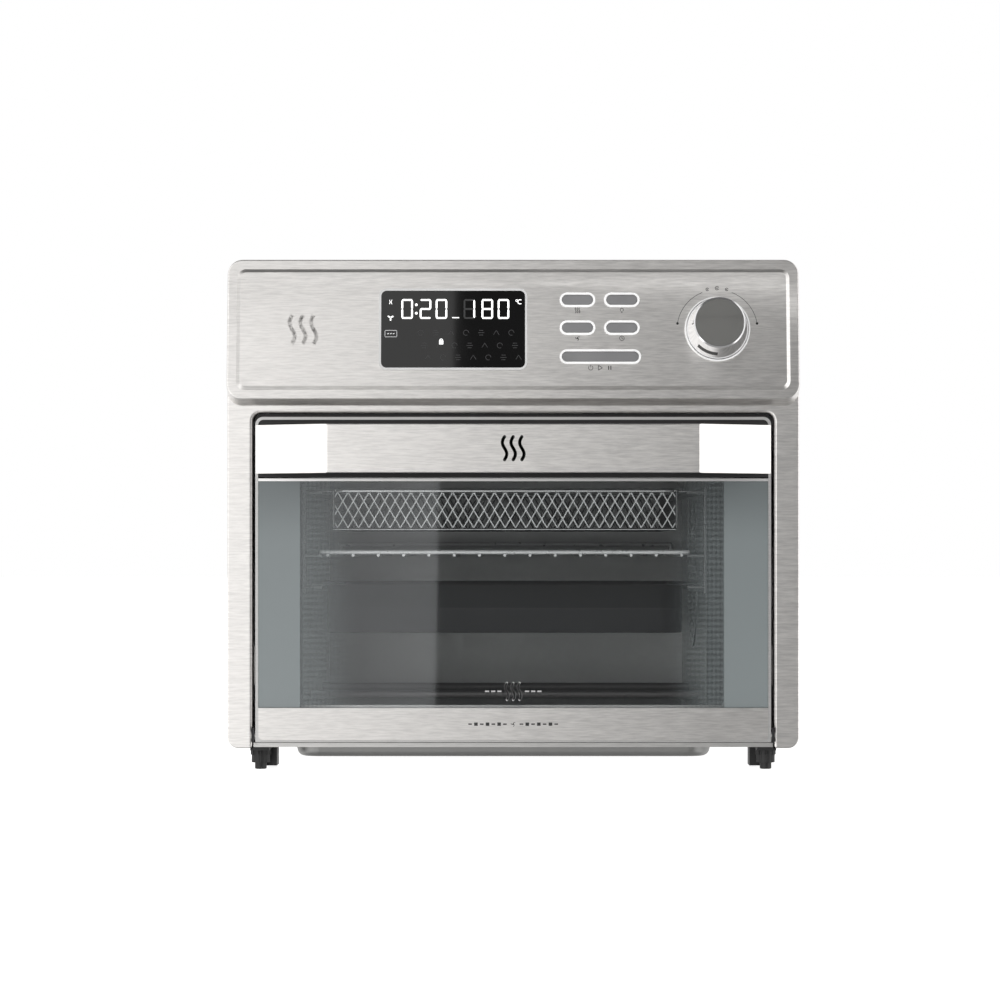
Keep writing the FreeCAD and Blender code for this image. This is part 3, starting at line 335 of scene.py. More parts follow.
def circuit_board(name):
    """Green laminate with paler tracks."""
    board = Finish(name, (0.02, 0.12, 0.05), 0.45)
    tracks = board.x.wave(0.006) * board.z.wave(0.009)
    fleck = board.noise(board.spot, 300.0)
    board.vary(
        Base_Color=board.blend(tracks.between(0.5, 0.6), (0.015, 0.10, 0.04), (0.05, 0.22, 0.10)),
        Roughness=fleck * 0.2 + 0.35,
    )
    return board.material


def fired_ceramic(name, tone):
    """Unglazed insulator or frosted bulb, finely speckled."""
    ceramic = Finish(name, tone, 0.6)
    speck = ceramic.noise(ceramic.spot, 500.0, 3.0)
    ceramic.vary(
        Base_Color=ceramic.blend(speck, shaded(tone, 0.85), tone),
        Roughness=speck * 0.2 + 0.5,
    )
    ceramic.bump(speck, 0.1, 0.0002)
    return ceramic.material


def enamel(name, tone):
    """Dark non-stick coat, slightly orange-peeled."""
    coat = Finish(name, tone, 0.34, 0.0, Specular_IOR_Level=0.4)
    peel = coat.noise(coat.spot, 420.0, 2.0)
    fleck = coat.noise(coat.spot, 900.0, 1.0)
    coat.vary(
        Base_Color=coat.blend(fleck.between(0.55, 0.8), tone, shaded(tone, 1.8)),
        Roughness=peel * 0.12 + 0.30,
    )
    coat.bump(peel, 0.04, 0.0002)
    return coat.material


def pan_enamel(name, tone, seam):
    """Dark non-stick coat; the lower half of the wall and a thin line at its middle are drawn
    paler.
    """
    coat = Finish(name, tone, 0.42, 0.0, Specular_IOR_Level=0.14)
    fleck = coat.noise(coat.spot, 900.0, 1.0)
    lower = 1 - coat.z.between(seam - 0.6 * MM, seam + 0.6 * MM)
    bead = 1 - abs(coat.z - seam).between(0.2 * MM, 0.8 * MM)
    shade = lower * 0.35 + bead * 0.45 + (fleck - 0.5) * 0.1
    coat.vary(
        Base_Color=coat.blend(shade, tone, shaded(tone, 3.4)),
        Roughness=fleck * 0.08 + 0.40,
    )
    return coat.material


def lit_print(name, colour, strength):
    """Segments and icons that glow behind the window."""
    glow = Finish(name, colour, 0.4)
    soft = glow.noise(glow.spot, 900.0)
    glow.feed(glow.shader.inputs["Emission Strength"], strength)
    glow.vary(Emission_Color=glow.blend(soft, shaded(colour, 0.93), colour))
    return glow.material


def ink(name, tone):
    """Screen-printed marking."""
    print_coat = Finish(name, tone, 0.5)
    edge = print_coat.noise(print_coat.spot, 2500.0)
    print_coat.vary(
        Base_Color=print_coat.blend(edge, tone, shaded(tone, 1.3, 0.01)),
        Roughness=edge * 0.2 + 0.4,
    )
    return print_coat.material


# ---------------------------------------------------------------- making pieces


def make(name, draw, finish, body, at=None):
    """Draw a mesh, put it in its place and let it ride on a body."""
    shape = bmesh.new()
    draw(shape)
    if at is not None:
        bmesh.ops.transform(shape, matrix=at, verts=shape.verts)
    mesh = bpy.data.meshes.new(name)
    shape.to_mesh(mesh)
    shape.free()
    mesh.materials.append(finish)
    made = bpy.data.objects.new(name, mesh)
    bpy.context.scene.collection.objects.link(made)
    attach(made, body)
    return made


def basis(across, up, out, origin=Vector()):
    """Matrix that lays a drawing's x, y and z along three directions."""
    turned = Matrix((across, up, out)).transposed().to_4x4()
    return Matrix.Translation(origin) @ turned


def reach(node, direction):
    """Lowest and highest place of a node along a direction."""
    spots = [v.co.dot(direction) for v in nodes[node].data.vertices]
    return min(spots), max(spots)


def middle(node, direction):
    """Middle of a node along a direction."""
    return sum(reach(node, direction)) / 2


FACE = reach("control_panel", OUT)[1]


def panel_at(across, up, lift=0.0):
    """Matrix for a drawing that lies on the control panel."""
    return basis(RIGHT, UP, OUT, RIGHT * across + UP * up + OUT * (FACE + lift))


def front_at(across, height, depth):
    """Matrix for a drawing that lies on an upright front face at y = depth."""
    return basis(RIGHT, Vector((0, 0, 1)), Vector((0, -1, 0)), Vector((across, depth, height)))


def slab(shape, x, y, width, height, turn=0.0, thick=PRINT):
    """Flat block lying on the drawing's plane."""
    place = Matrix.Translation((x, y, thick / 2)) @ Matrix.Rotation(turn, 4, "Z")
    size = Matrix.Diagonal((width, height, thick, 1.0))
    return bmesh.ops.create_cube(shape, size=1.0, matrix=place @ size)["verts"]


def dot(shape, x, y, radius, thick=PRINT, sides=20):
    """Flat disc lying on the drawing's plane."""
    bmesh.ops.create_cone(
        shape, cap_ends=True, segments=sides, radius1=radius, radius2=radius, depth=thick,
        matrix=Matrix.Translation((x, y, thick / 2)),
    )


def arc(shape, x, y, radius, width, start, sweep, thick=PRINT, steps=48):
    """Flat curved strip, from one angle and on through a sweep, both in degrees."""
    turn = Matrix.Rotation(math.radians(start), 4, "Z")
    whole = abs(sweep) > 359.9
    centre = Vector((x, y, 0))
    corners = [(radius - width / 2, 0), (radius + width / 2, 0),
               (radius + width / 2, thick), (radius - width / 2, thick)]
    section = [shape.verts.new(centre + turn @ Vector((across, 0, up))) for across, up in corners]
    face = shape.faces.new(section)
    bmesh.ops.spin(
        shape, geom=[face] + list(face.edges) + section, cent=centre, axis=(0, 0, 1),
        angle=math.radians(sweep), steps=steps, use_merge=whole, use_duplicate=False,
    )
    if whole:
        bmesh.ops.delete(shape, geom=[face], context="FACES_ONLY")
    bmesh.ops.recalc_face_normals(shape, faces=shape.faces)


def stroke(shape, points, width, thick=PRINT):
    """Line of even width through points, with round joints."""
    for (x0, y0), (x1, y1) in zip(points, points[1:]):
        length = math.hypot(x1 - x0, y1 - y0)
        slab(shape, (x0 + x1) / 2, (y0 + y1) / 2, length, width,
             math.atan2(y1 - y0, x1 - x0), thick)
    for x, y in points:
        dot(shape, x, y, width / 2, thick, 12)


# ---------------------------------------------------------------- display


DIGIT_WIDE = 8.4 * MM
DIGIT_TALL = 14.6 * MM
BAR = 1.3 * MM
SEGMENT_GAP = 0.25 * MM
SEGMENTS = {
    "top": (0, 1, True), "middle": (0, 0, True), "bottom": (0, -1, True),
    "upper_left": (-1, 0.5, False), "upper_right": (1, 0.5, False),
    "lower_left": (-1, -0.5, False), "lower_right": (1, -0.5, False),
}
LIT = {
    "0": "top bottom upper_left upper_right lower_left lower_right",
    "1": "upper_right lower_right",
    "2": "top middle bottom upper_right lower_left",
    "8": "top middle bottom upper_left upper_right lower_left lower_right",
}


def digit(shape, x, y, value):
    """One seven-segment figure."""
    wide = DIGIT_WIDE - BAR
    tall = DIGIT_TALL - BAR
    for name in LIT[value].split():
        across, up, level = SEGMENTS[name]
        length = (wide + BAR / 2 if level else tall / 2) - SEGMENT_GAP
        centre = (x + across * wide / 2, y + up * tall / 2)
        size = (length, BAR) if level else (BAR, length)
        corners = slab(shape, *centre, *size)
        uprights = [e for e in {e for v in corners for e in v.link_edges}
                    if abs(e.verts[0].co.z - e.verts[1].co.z) > PRINT / 2]
        bmesh.ops.bevel(shape, geom=uprights, offset=BAR * 0.42, offset_type="OFFSET",
                        segments=1, profile=0.5, affect="EDGES", material=-1)


def lit_figures(shape, half, row):
    """Time and temperature with their colon, dash and degree sign."""
    for value, share in (("0", -0.640), ("2", -0.385), ("0", -0.163),
                         ("1", 0.225), ("8", 0.475), ("0", 0.700)):
        digit(shape, half * share, row, value)
    for side in (-1, 1):
        dot(shape, -half * 0.513, row + side * 3.1 * MM, 0.95 * MM)
    slab(shape, half * 0.035, row - 6.4 * MM, 5.0 * MM, 0.7 * MM)
    arc(shape, half * 0.885, row + 6.2 * MM, 0.75 * MM, 0.35 * MM, 0, 360, steps=16)
    arc(shape, half * 0.930, row + 5.3 * MM, 1.55 * MM, 0.6 * MM, 50, 260, steps=20)


def lit_lock(shape, x, y):
    """Closed lock below the figures."""
    arc(shape, x, y, 1.0 * MM, 0.5 * MM, 0, 180, steps=16)
    slab(shape, x, y - 1.6 * MM, 3.0 * MM, 2.8 * MM)


def lit_signs(shape, x, row):
    """Steam and fan signs at the left of the figures."""
    for side in (-1, 1):
        stroke(shape, [(x + side * 0.9 * MM, row + 6.6 * MM),
                       (x + side * 0.3 * MM, row + 5.2 * MM),
                       (x + side * 0.9 * MM, row + 3.6 * MM)], 0.35 * MM)
    for turn in range(3):
        angle = turn * 2 * math.pi / 3 + 0.5
        slab(shape, x + 1.3 * MM * math.cos(angle), row - 6.4 * MM + 1.3 * MM * math.sin(angle),
             1.9 * MM, 1.0 * MM, angle)


def unlit_sign(shape, x, y, kind):
    """One of three plain programme signs: an open ring, three bars or a peak."""
    if kind == 0:
        arc(shape, x, y, 1.9 * MM, 0.45 * MM, 0, 300, steps=18)
    elif kind == 1:
        slab(shape, x, y, 4.4 * MM, 0.5 * MM)
        slab(shape, x, y + 1.7 * MM, 3.0 * MM, 0.5 * MM)
        slab(shape, x, y - 1.7 * MM, 3.0 * MM, 0.5 * MM)
    else:
        stroke(shape, [(x - 2 * MM, y - 1.4 * MM), (x, y + 1.7 * MM),
                       (x + 2 * MM, y - 1.4 * MM)], 0.45 * MM)


def display_marks():
    """Everything that the display shows, lit and unlit, on the face of its window."""
    left, right = reach("display_window", RIGHT)
    lens = reach("display_window", OUT)[1] - FACE
    half = (right - left) / 2
    row = 14.9 * MM
    white = lit_print("display_white", (0.9, 0.9, 0.9), 0.95)
    # painted glow: the unlit segments and signs get a faint glow of their own, though no light is
    # behind them
    ghost = lit_print("display_unlit_painted_glow", (0.020, 0.020, 0.021), 0.35)

    def digits(shape):
        lit_figures(shape, half, row)
        lit_lock(shape, -half * 0.165, -row * 0.55)
        lit_signs(shape, -half * 0.87, row)

    def tag(shape):
        x, y = -half * 0.865, -row * 0.22
        for side in (-1, 1):
            slab(shape, x, y + side * 2.4 * MM, 8.2 * MM, 0.25 * MM)
            slab(shape, x + side * 4.3 * MM, y, 0.25 * MM, 4.2 * MM)
        for place in (-1, 0, 1):
            slab(shape, x + place * 2.0 * MM, y, 1.3 * MM, 0.5 * MM, 0.5)

    def faint(shape):
        digit(shape, half * 0.225, row, "8")
        for line, up in enumerate((-2.6, -12.0, -20.8)):
            for number in range(7):
                x = half * (-0.45 + number * 0.21 + 0.05 * line)
                unlit_sign(shape, x, up * MM, (number + line) % 3)

    spot = panel_at(middle("display_window", RIGHT), middle("display_window", UP), lens)
    make("display_digits", digits, white, "cabinet", spot)
    make("display_tag", tag, lit_print("display_grey", (0.55, 0.55, 0.56), 0.7), "cabinet",
         spot)
    make("display_ghosts", faint, ghost, "cabinet",
         panel_at(middle("display_window", RIGHT), middle("display_window", UP),
                  lens - 0.5 * PRINT))


# ---------------------------------------------------------------- printed marks


def bulb(shape):
    """Lamp."""
    arc(shape, 0, 0.4 * MM, 1.2 * MM, 0.35 * MM, -50, 280, steps=20)
    slab(shape, 0, -1.1 * MM, 1.2 * MM, 0.35 * MM)
    slab(shape, 0, -1.7 * MM, 0.9 * MM, 0.3 * MM)


def blades(shape):
    """Three-bladed fan."""
    for turn in range(3):
        angle = turn * 2 * math.pi / 3 + 0.5
        arc(shape, 0.95 * MM * math.cos(angle), 0.95 * MM * math.sin(angle), 0.7 * MM, 0.4 * MM,
            math.degrees(angle), 230, steps=12)
    dot(shape, 0, 0, 0.4 * MM)


def clock(shape):
    """Clock face with two hands."""
    arc(shape, 0, 0, 1.7 * MM, 0.35 * MM, 0, 360, steps=24)
    stroke(shape, [(0, 1.1 * MM), (0, 0), (0.8 * MM, -0.5 * MM)], 0.35 * MM)


def heat(shape, size=1.0):
    """Three rising waves of warm air."""
    for side in (-1, 0, 1):
        points = []
        for step in range(13):
            rise = (step / 12 - 0.5) * 3.6 * MM * size
            sway = math.sin(step / 12 * 2 * math.pi) * 0.35 * MM * size
            points.append((side * 1.35 * MM * size + sway, rise))
        stroke(shape, points, 0.5 * MM * size)


def play(shape):
    """Power ring, start arrow and pause bars."""
    arc(shape, -7 * MM, 0, 1.6 * MM, 0.35 * MM, 130, 280, steps=20)
    slab(shape, -7 * MM, 1.3 * MM, 0.35 * MM, 1.9 * MM)
    for x, y, turn in ((0.0, 0.9, -30), (0.0, -0.9, 30), (-1.45, 0.0, 90)):
        slab(shape, x * MM, y * MM, 3.3 * MM, 0.4 * MM, math.radians(turn))
    for x in (6.0, 7.6):
        slab(shape, x * MM, 0, 0.7 * MM, 2.9 * MM)


def panel_prints(black):
    """Sign under each button, and the scale round the knob."""
    for button, mark, drop in (
        ("button_preheat", heat, 7.6), ("button_light", bulb, 7.6),
        ("button_air", blades, 7.6), ("button_timer", clock, 7.6), ("button_start", play, 8.1),
    ):
        spot = panel_at(middle(button, RIGHT), middle(button, UP) - drop * MM)
        make(f"{button}_mark", mark, black, "cabinet", spot)
    knob_x = middle("knob_ring", RIGHT)
    knob_up = middle("knob_ring", UP)

    def scale(shape):
        radius = 29.2 * MM
        end, sweep = 8.5, 60.0
        for start in (end, 180.0 - end - sweep):
            arc(shape, 0, 0, radius, 0.32 * MM, start, sweep, steps=40)
        for angle in (end, 180.0 - end):
            dot(shape, radius * math.cos(math.radians(angle)),
                radius * math.sin(math.radians(angle)), 0.95 * MM)
        for angle, size in ((104.0, 0.75), (90.0, 0.95), (76.0, 0.75)):
            x = radius * math.cos(math.radians(angle))
            y = (radius + 1.2 * MM) * math.sin(math.radians(angle))
            arc(shape, x, y, 1.35 * MM * size, 0.4 * MM, 20, 320, steps=16)
            dot(shape, x, y, 0.5 * MM * size)

    make("knob_scale", scale, black, "cabinet", panel_at(knob_x, knob_up))


def door_prints(black):
    """Waves on the handle, and the small fan and dashes on the lower trim."""
    handle_low, handle_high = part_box("door_handle")
    trim_low, trim_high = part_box("door_bottom_trim")

    def emblem(shape):
        heat(shape, 4.6)

    middle_z = (handle_low[2] + handle_high[2]) / 2
    make("handle_emblem", emblem, black, "door",
         front_at(0, middle_z, handle_low[1] + 0.5 * PRINT))

    def trim_mark(shape):
        blades(shape)
        for side in (-1, 1):
            for number in range(7):
                x = side * (6 + number * 4.2) * MM
                slab(shape, x, 0, 2.6 * MM, (2.4 if number % 2 else 1.0) * MM)

    trim_z = (trim_low[2] + trim_high[2]) / 2
    make("trim_mark", trim_mark, black, "door",
         front_at(0, trim_z, trim_low[1] + 0.5 * PRINT))


def glass_edge_highlight_and_mark(steel):
    """A painted highlight along the top edge of the glass, drawn as a thin strip of very pale
    steel, and the pale mark low on the pane.
    """
    low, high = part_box("door_glass")
    strip = 2.0 * MM

    # painted highlight: a thin pale steel strip stands for the glint on the glass's top edge
    def edge(shape):
        slab(shape, 0, 0, high[0] - low[0], strip, thick=0.25 * MM)
        bmesh.ops.bevel(shape, geom=shape.edges[:], offset=0.08 * MM, segments=2, profile=0.5,
                        affect="EDGES", material=-1)

    make("glass_edge_painted_highlight", edge, steel, "door",
         front_at(0, high[2] - strip / 2, low[1]))

    def mark(shape):
        heat(shape, 3.4)
        for side in (-1, 1):
            for step in range(3):
                slab(shape, side * (10 + step * 4.5) * MM, 0, 3.0 * MM, 1.1 * MM)

    make("glass_mark", mark, ink("pale_print", (0.36, 0.36, 0.36)), "door",
         front_at(0, 57.5 * MM, low[1]))


def panel_emblem(steel):
    """Raised wave mark on the plain left part of the panel."""
    def relief(shape):
        heat(shape, 5.8)
        bmesh.ops.scale(shape, vec=(1, 1, 3.5), verts=shape.verts)

    left = reach("control_panel", RIGHT)[0]
    window_left = reach("display_bezel", RIGHT)[0]
    make("panel_emblem", relief, steel, "cabinet",
         panel_at((left + window_left) / 2, middle("display_window", UP)))


def pointer_inlay(black):
    """Black fill of the curved pointer groove in the knob, leaning in with its conical wall."""
    lean = 0.17
    depth = 5.7 * MM
    lift = 10.1 * MM

    def fill(shape):
        arc(shape, 0, 0, 20.7 * MM, 0.9 * MM, 224.5, 43, depth, 24)
        for vertex in shape.verts:
            inward = vertex.co.z * lean
            flat = Vector((vertex.co.x, vertex.co.y))
            scale = (flat.length - inward) / flat.length
            vertex.co.x *= scale
            vertex.co.y *= scale

    make("pointer_inlay", fill, black, "knob",
         panel_at(middle("knob_ring", RIGHT), middle("knob_ring", UP), lift))


# ---------------------------------------------------------------- mesh basket


def expanded_sheet(shape, wide, tall, cell_wide, cell_tall, strand, thick):
    """Sheet of diamond openings, centred on the origin and trimmed to size."""
    count = int(max(wide / cell_wide, tall / cell_tall)) * 2 + 6
    bmesh.ops.create_grid(shape, x_segments=count, y_segments=count, size=0.5)
    turn = Matrix.Rotation(math.radians(45), 4, "Z")
    root = math.sqrt(2)
    stretch = Matrix.Diagonal((cell_wide * count / root, cell_tall * count / root, 1, 1))
    bmesh.ops.transform(shape, matrix=stretch @ turn, verts=shape.verts)
    for axis, half in ((Vector((1, 0, 0)), wide / 2), (Vector((0, 1, 0)), tall / 2)):
        for side in (-1, 1):
            geometry = shape.verts[:] + shape.edges[:] + shape.faces[:]
            bmesh.ops.bisect_plane(
                shape, geom=geometry, plane_co=axis * side * half, plane_no=axis * side,
                clear_outer=True, dist=1e-6,
            )
    bmesh.ops.remove_doubles(shape, verts=shape.verts, dist=1e-6)
    bmesh.ops.wireframe(
        shape, faces=shape.faces[:], thickness=strand, offset=0.0, use_replace=True,
        use_boundary=True, use_even_offset=True,
    )
    flat = Matrix.Diagonal((1, 1, thick / strand, 1))
    bmesh.ops.transform(shape, matrix=flat, verts=shape.verts)


def round_rim(shape, half_wide, half_deep):
    """Closed loop of round wire with a bend at each corner."""
    corner = 9 * MM
    side = half_wide - corner
    end = half_deep - corner
    start = Matrix.Translation((half_wide, -end, 0)) @ Matrix.Rotation(math.pi / 2, 4, "X")
    section = bmesh.ops.create_circle(shape, segments=12, radius=1.8 * MM, matrix=start)["verts"]
    edges = list({e for v in section for e in v.link_edges})
    for run, bend in (
        ((0, 2 * end, 0), (side, end, 0)), ((-2 * side, 0, 0), (-side, end, 0)),
        ((0, -2 * end, 0), (-side, -end, 0)), ((2 * side, 0, 0), (side, -end, 0)),
    ):
        grown = bmesh.ops.extrude_edge_only(shape, edges=edges)["geom"]
        moved = [g for g in grown if isinstance(g, bmesh.types.BMVert)]
        bmesh.ops.translate(shape, vec=run, verts=moved)
        edges = [g for g in grown if isinstance(g, bmesh.types.BMEdge) and len(g.link_faces) == 1]
        turned = bmesh.ops.spin(
            shape, geom=edges, cent=bend, axis=(0, 0, 1), angle=math.pi / 2, steps=8,
            use_merge=False, use_duplicate=False,
        )["geom_last"]
        edges = [g for g in turned if isinstance(g, bmesh.types.BMEdge)]
    bmesh.ops.remove_doubles(shape, verts=shape.verts, dist=1e-5)
    bmesh.ops.recalc_face_normals(shape, faces=shape.faces)


def basket(lit_copy_finish, shaded_copy_finish, rim_finish):
    """Expanded-steel walls and floor inside a round wire rim, with four hanging tabs. The front
    wall wears a pale copy of the mesh finish and the other walls and floor a dark copy: painted
    light and painted shade.
    """
    low, high = (Vector(corner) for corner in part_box("air_fry_basket"))
    tub_left, tub_right = -133.0 * MM, 121.0 * MM
    inset = 2.4 * MM
    front, rear = low.y + inset, high.y - inset
    wall = 0.6 * MM
    rim_z = high.z - 1.9 * MM
    wide = tub_right - tub_left
    deep = rear - front
    tall = rim_z - low.z
    x, y, z = (tub_left + tub_right) / 2, (front + rear) / 2, (low.z + rim_z) / 2
    up = Vector((0, 0, 1))
    back = Vector((0, 1, 0))
    cell_wide, cell_tall, strand = 7.75 * MM, 13.2 * MM, 0.9 * MM
    made = []
    for name, across, along, directions, spot in (
        ("basket_front", wide, tall, (RIGHT, up, -back), (x, front + wall, z)),
        ("basket_rear", wide, tall, (RIGHT, up, -back), (x, rear - wall, z)),
        ("basket_left", deep, tall, (back, up, RIGHT), (tub_left + wall, y, z)),
        ("basket_right", deep, tall, (back, up, RIGHT), (tub_right - wall, y, z)),
        ("basket_floor", wide, deep, (RIGHT, back, up), (x, y, low.z + wall)),
    ):
        def draw(shape, across=across, along=along):
            expanded_sheet(shape, across - 0.4 * MM, along - 0.2 * MM, cell_wide, cell_tall,
                           strand, strand)
        # painted light and shade: one mesh in a pale copy for the front wall and a dark copy for
        # the walls and floor behind it
        finish = lit_copy_finish if name == "basket_front" else shaded_copy_finish
        made.append(make(name, draw, finish, "basket",
                         basis(*directions, Vector(spot))))

    def rim(shape):
        round_rim(shape, wide / 2 + 0.4 * MM, deep / 2 + 0.4 * MM)

    made.append(make("basket_rim", rim, rim_finish, "basket",
                     Matrix.Translation((x, y, rim_z))))

    def tabs(shape):
        for tab_y in (-70 * MM, 60 * MM):
            for x0, x1 in ((low.x, tub_left), (tub_right, high.x)):
                place = Matrix.Translation(((x0 + x1) / 2, tab_y, low.z + 28.9 * MM))
                size = Matrix.Diagonal((x1 - x0, 14 * MM, 1.4 * MM, 1))
                bmesh.ops.create_cube(shape, size=1.0, matrix=place @ size)
        bmesh.ops.bevel(shape, geom=shape.edges[:], offset=0.4 * MM, segments=2, profile=0.5,
                        affect="EDGES", material=-1)

    made.append(make("basket_tabs", tabs, rim_finish, "basket"))
    for mesh in made:
        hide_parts("air_fry_basket")


# ---------------------------------------------------------------- studio


def studio():
    """Room light by direction: a bright left half, a dim right half, and brighter wings."""
    scene = bpy.context.scene
    scene.view_settings.view_transform = "Standard"
    world = bpy.data.worlds.new("studio")
    scene.world = world
    world.use_nodes = True
    room = Graph(world.node_tree)
    direction = room.add("ShaderNodeTexCoord").outputs["Generated"]
    parts = room.add("ShaderNodeSeparateXYZ", (), {0: direction})
    x, y, z = (room.level(parts, number) for number in range(3))
    left = x * -1.0
    down = z * -1.0
    ahead = (y * -1.0).between(0.0, 0.3)
    left_card = (left + z * 0.018).between(0.0242, 0.0254)
    dim_side = 0.302 - z.between(0.10, 0.35) * (x.between(0.0, 0.10) * 0.06 + 0.085)
    card_light = 1.25 - down.between(0.03, 0.12) * 0.14
    near = left_card * card_light + dim_side
    wing = abs(x).between(0.55, 0.70)
    wing_light = 1.7 - left.between(0.82, 0.90) * 0.95
    walls = near * (1 - wing) + wing * wing_light
    behind_light = 1.05
    ceiling_light = 0.16
    ground_light = 0.36
    overhead = z.between(0.72, 0.85)
    below = down.between(0.60, 0.80)
    around = walls * ahead + (1 - ahead) * behind_light
    level = around * (1 - overhead) + overhead * ceiling_light
    glow = level * (1 - below) + below * ground_light
    seen = room.add("ShaderNodeLightPath").outputs["Is Camera Ray"]
    room_light = room.add("ShaderNodeBackground", (), {
        "Color": rgba((1.0, 0.995, 0.985)), "Strength": glow,
    })
    backdrop = room.add("ShaderNodeBackground", (), {"Color": rgba((1, 1, 1)), "Strength": 1.0})
    mixed = room.add("ShaderNodeMixShader", (), {
        0: seen, 1: room_light.outputs[0], 2: backdrop.outputs[0],
    })
    room.add("ShaderNodeOutputWorld", (), {"Surface": mixed.outputs[0]})


def floor():
    """Pale seamless floor."""
    paper = Finish("floor_paper", (0.92, 0.92, 0.92), 0.8)
    paper.feed(paper.shader.inputs["Emission Strength"], 0.85)
    paper.feed(paper.shader.inputs["Emission Color"], rgba((1, 1, 1)))
    fibre = paper.noise(paper.spot, 30.0)
    paper.vary(Roughness=fibre * 0.1 + 0.75)
    shape = bmesh.new()
    half_size = 15.0
    bmesh.ops.create_grid(shape, x_segments=1, y_segments=1, size=half_size)
    mesh = bpy.data.meshes.new("floor")
    shape.to_mesh(mesh)
    shape.free()
    mesh.materials.append(paper.material)
    ground = bpy.data.objects.new("floor", mesh)
    bpy.context.scene.collection.objects.link(ground)
    ground.visible_glossy = False


def camera():
    """Level camera in front of the oven, a little above half of the cooking space."""
    lens = bpy.data.cameras.new("camera")
    distance = 2.2
    view_width = 0.7273
    eye_height = 0.160
    lens.sensor_width = 36.0
    lens.lens = lens.sensor_width * distance / view_width
    lens.shift_x = -0.0132
    lens.shift_y = 0.050
    eye = bpy.data.objects.new("camera", lens)
    front_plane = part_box("front_frame")[0][1]
    eye.location = (0, front_plane - distance, eye_height)
    eye.rotation_euler = (math.pi / 2, 0, 0)
    bpy.context.scene.collection.objects.link(eye)
    bpy.context.scene.camera = eye


# ---------------------------------------------------------------- dress the oven


def wear(finish, *names):
    """Give nodes a finish in place of their plain one."""
    for name in names:
        materials = nodes[name].data.materials
        materials.clear()
        materials.append(finish)


def casing(panel_steel):
    """Outer sheets, feet and fasteners."""
    wear(brushed_steel("frame_steel", shaded(STEEL_TONE, 1.06)), "front_frame", "door_handle")
    wear(panel_steel, "control_panel", "door_bottom_trim")
    wear(brushed_steel("wrap_steel", STEEL_TONE, pull=0.0), "outer_cabinet")
    wear(brushed_steel("door_edge_steel", (0.72, 0.715, 0.71), 0.5, 0.5), "door_frame")
    wear(brushed_steel("lip_steel", (0.70, 0.695, 0.685), 0.4, 0.6), "base_plate")
    wear(sheet_steel("aluminised_sheet", (0.52, 0.53, 0.54)),
         "rear_panel", "fan_housing", "door_arms")
    wear(sheet_steel("base_sheet", (0.33, 0.33, 0.325)), "base_pan")
    wear(moulded("black_moulding", (0.003, 0.003, 0.0032), 0.5),
         "display_module", "cord_gland", "handle_base", "front_foot_left", "front_foot_right",
         "rear_foot_left", "rear_foot_right", "encoder")
    wear(sheet_steel("plated_fastener", (0.62, 0.62, 0.62), 0.3),
         "cabinet_screws", "door_screws", "hinge_pins", "encoder_shaft", "fan_shaft",
         "door_springs", "temperature_probe")


def controls():
    """Display, buttons and knob."""
    wear(chrome("bright_chrome"), "knob")
    # painted reflection: the button rims, knob ring and display bezel get pale matt tones that
    # stand for what their plated faces reflect
    wear(moulded("rim_painted_reflection", (0.80, 0.80, 0.80), 0.30, 2400.0, 0.03),
         "button_rims", "knob_ring")
    wear(moulded("bezel_painted_reflection", (0.50, 0.50, 0.50), 0.25, 2400.0, 0.03), "display_bezel")
    wear(moulded("button_satin", (0.150, 0.150, 0.154), 0.36, 2400.0, 0.06),
         "button_preheat", "button_light", "button_air", "button_timer", "button_start")
    cap_low, cap_high = (Vector(corner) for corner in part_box("knob_cap"))
    wear(spun_cap("spun_cap", (0.24, 0.24, 0.232), (cap_low + cap_high) / 2), "knob_cap")
    wear(gloss_black("display_black"), "display_window")


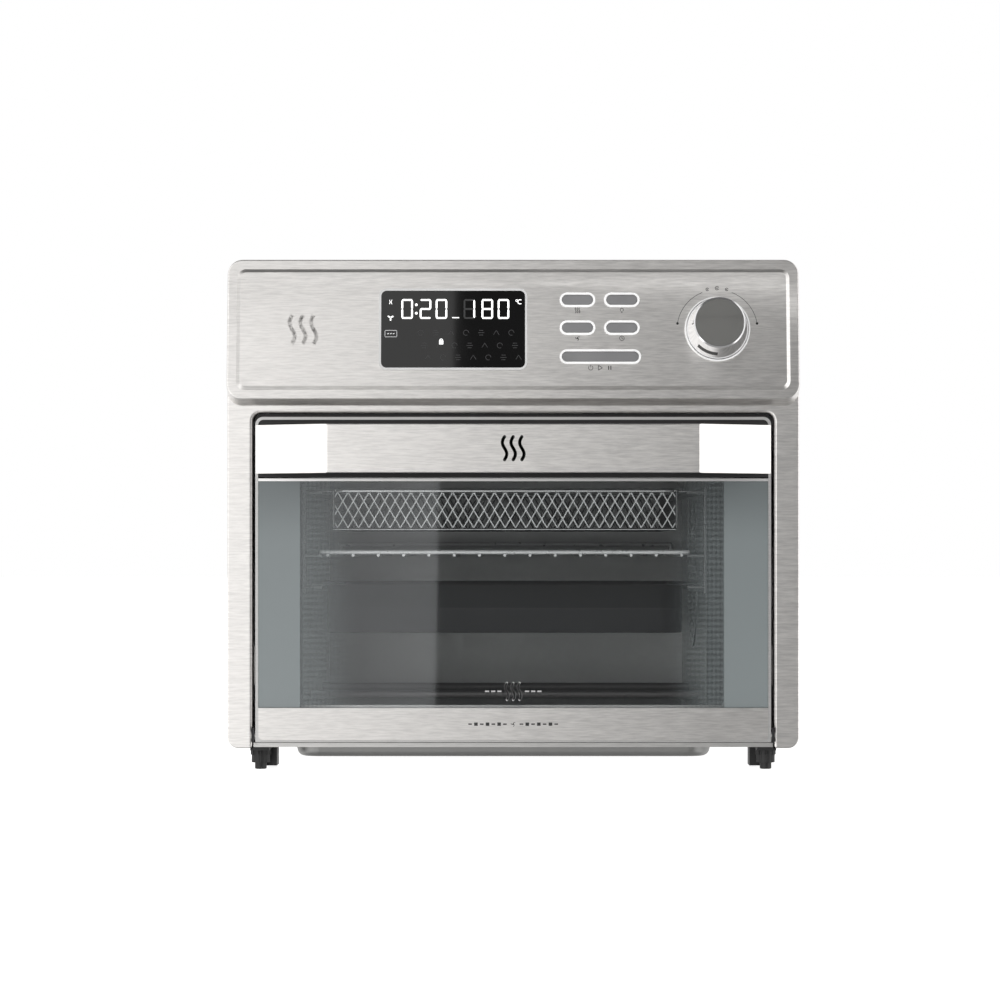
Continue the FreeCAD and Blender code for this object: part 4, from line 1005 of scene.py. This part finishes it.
def cooking_space():
    """Enamelled mouth, lining, rack, pan, heaters and the glass in front of them."""
    wear(enamel("mouth_enamel", (0.012, 0.012, 0.013)), "mouth_frame", "hinge_brackets")
    wear(sheet_steel("oven_lining", (0.47, 0.47, 0.47), 0.38),
         "cavity_wall_left", "cavity_wall_right", "cavity_ceiling", "cavity_floor",
         "cavity_back", "fan_guard", "fan_impeller", "crumb_tray")
    wear(sheet_steel("guide_steel", (0.20, 0.20, 0.20), 0.42),
         "rack_guide_left", "rack_guide_right")
    wear(sheet_steel("rack_wire", (0.80, 0.80, 0.80), 0.3, 0.5), "wire_rack")
    pan_low, pan_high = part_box("baking_pan")
    seam = (pan_low[2] + pan_high[2]) / 2
    wear(pan_enamel("pan_enamel", (0.009, 0.009, 0.0095), seam), "baking_pan")
    wear(sheet_steel("heater_sheath", (0.20, 0.19, 0.19), 0.5), "lower_heaters", "upper_heaters")
    wear(fired_ceramic("white_ceramic", (0.86, 0.84, 0.78)), "heater_insulators")
    wear(fired_ceramic("lamp_frosting", (0.80, 0.79, 0.74)), "oven_lamp")
    glass_low, glass_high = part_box("door_glass")
    wear(glass_pane("door_glass_print", glass_low[2], glass_high[2]), "door_glass")
    # one steel mesh in two copies: pale for the front wall (painted light), dark for the rest
    # (painted shade)
    basket(sheet_steel("basket_mesh", (0.94, 0.94, 0.94), 0.4, 0.1),
           sheet_steel("basket_mesh_painted_shade", (0.11, 0.11, 0.11), 0.45),
           chrome("basket_rim", (0.85, 0.85, 0.85), 0.25))


def works():
    """Boards and motor behind the walls."""
    wear(circuit_board("circuit_board"), "control_board", "power_board")
    wear(moulded("motor_lacquer", (0.10, 0.10, 0.105), 0.4, 600.0, 0.1), "fan_motor")


def dress():
    panel_steel = brushed_steel("panel_steel", shaded(STEEL_TONE, 0.98))
    casing(panel_steel)
    controls()
    cooking_space()
    works()
    print_black = ink("black_print", (0.012, 0.012, 0.012))
    display_marks()
    panel_prints(print_black)
    door_prints(print_black)
    # the pale strip on the glass's top edge is a painted highlight
    glass_edge_highlight_and_mark(brushed_steel("painted_highlight_steel", (0.97, 0.955, 0.94), 0.34, 0.5))
    panel_emblem(panel_steel)
    pointer_inlay(print_black)


dress()
studio()
floor()
camera()
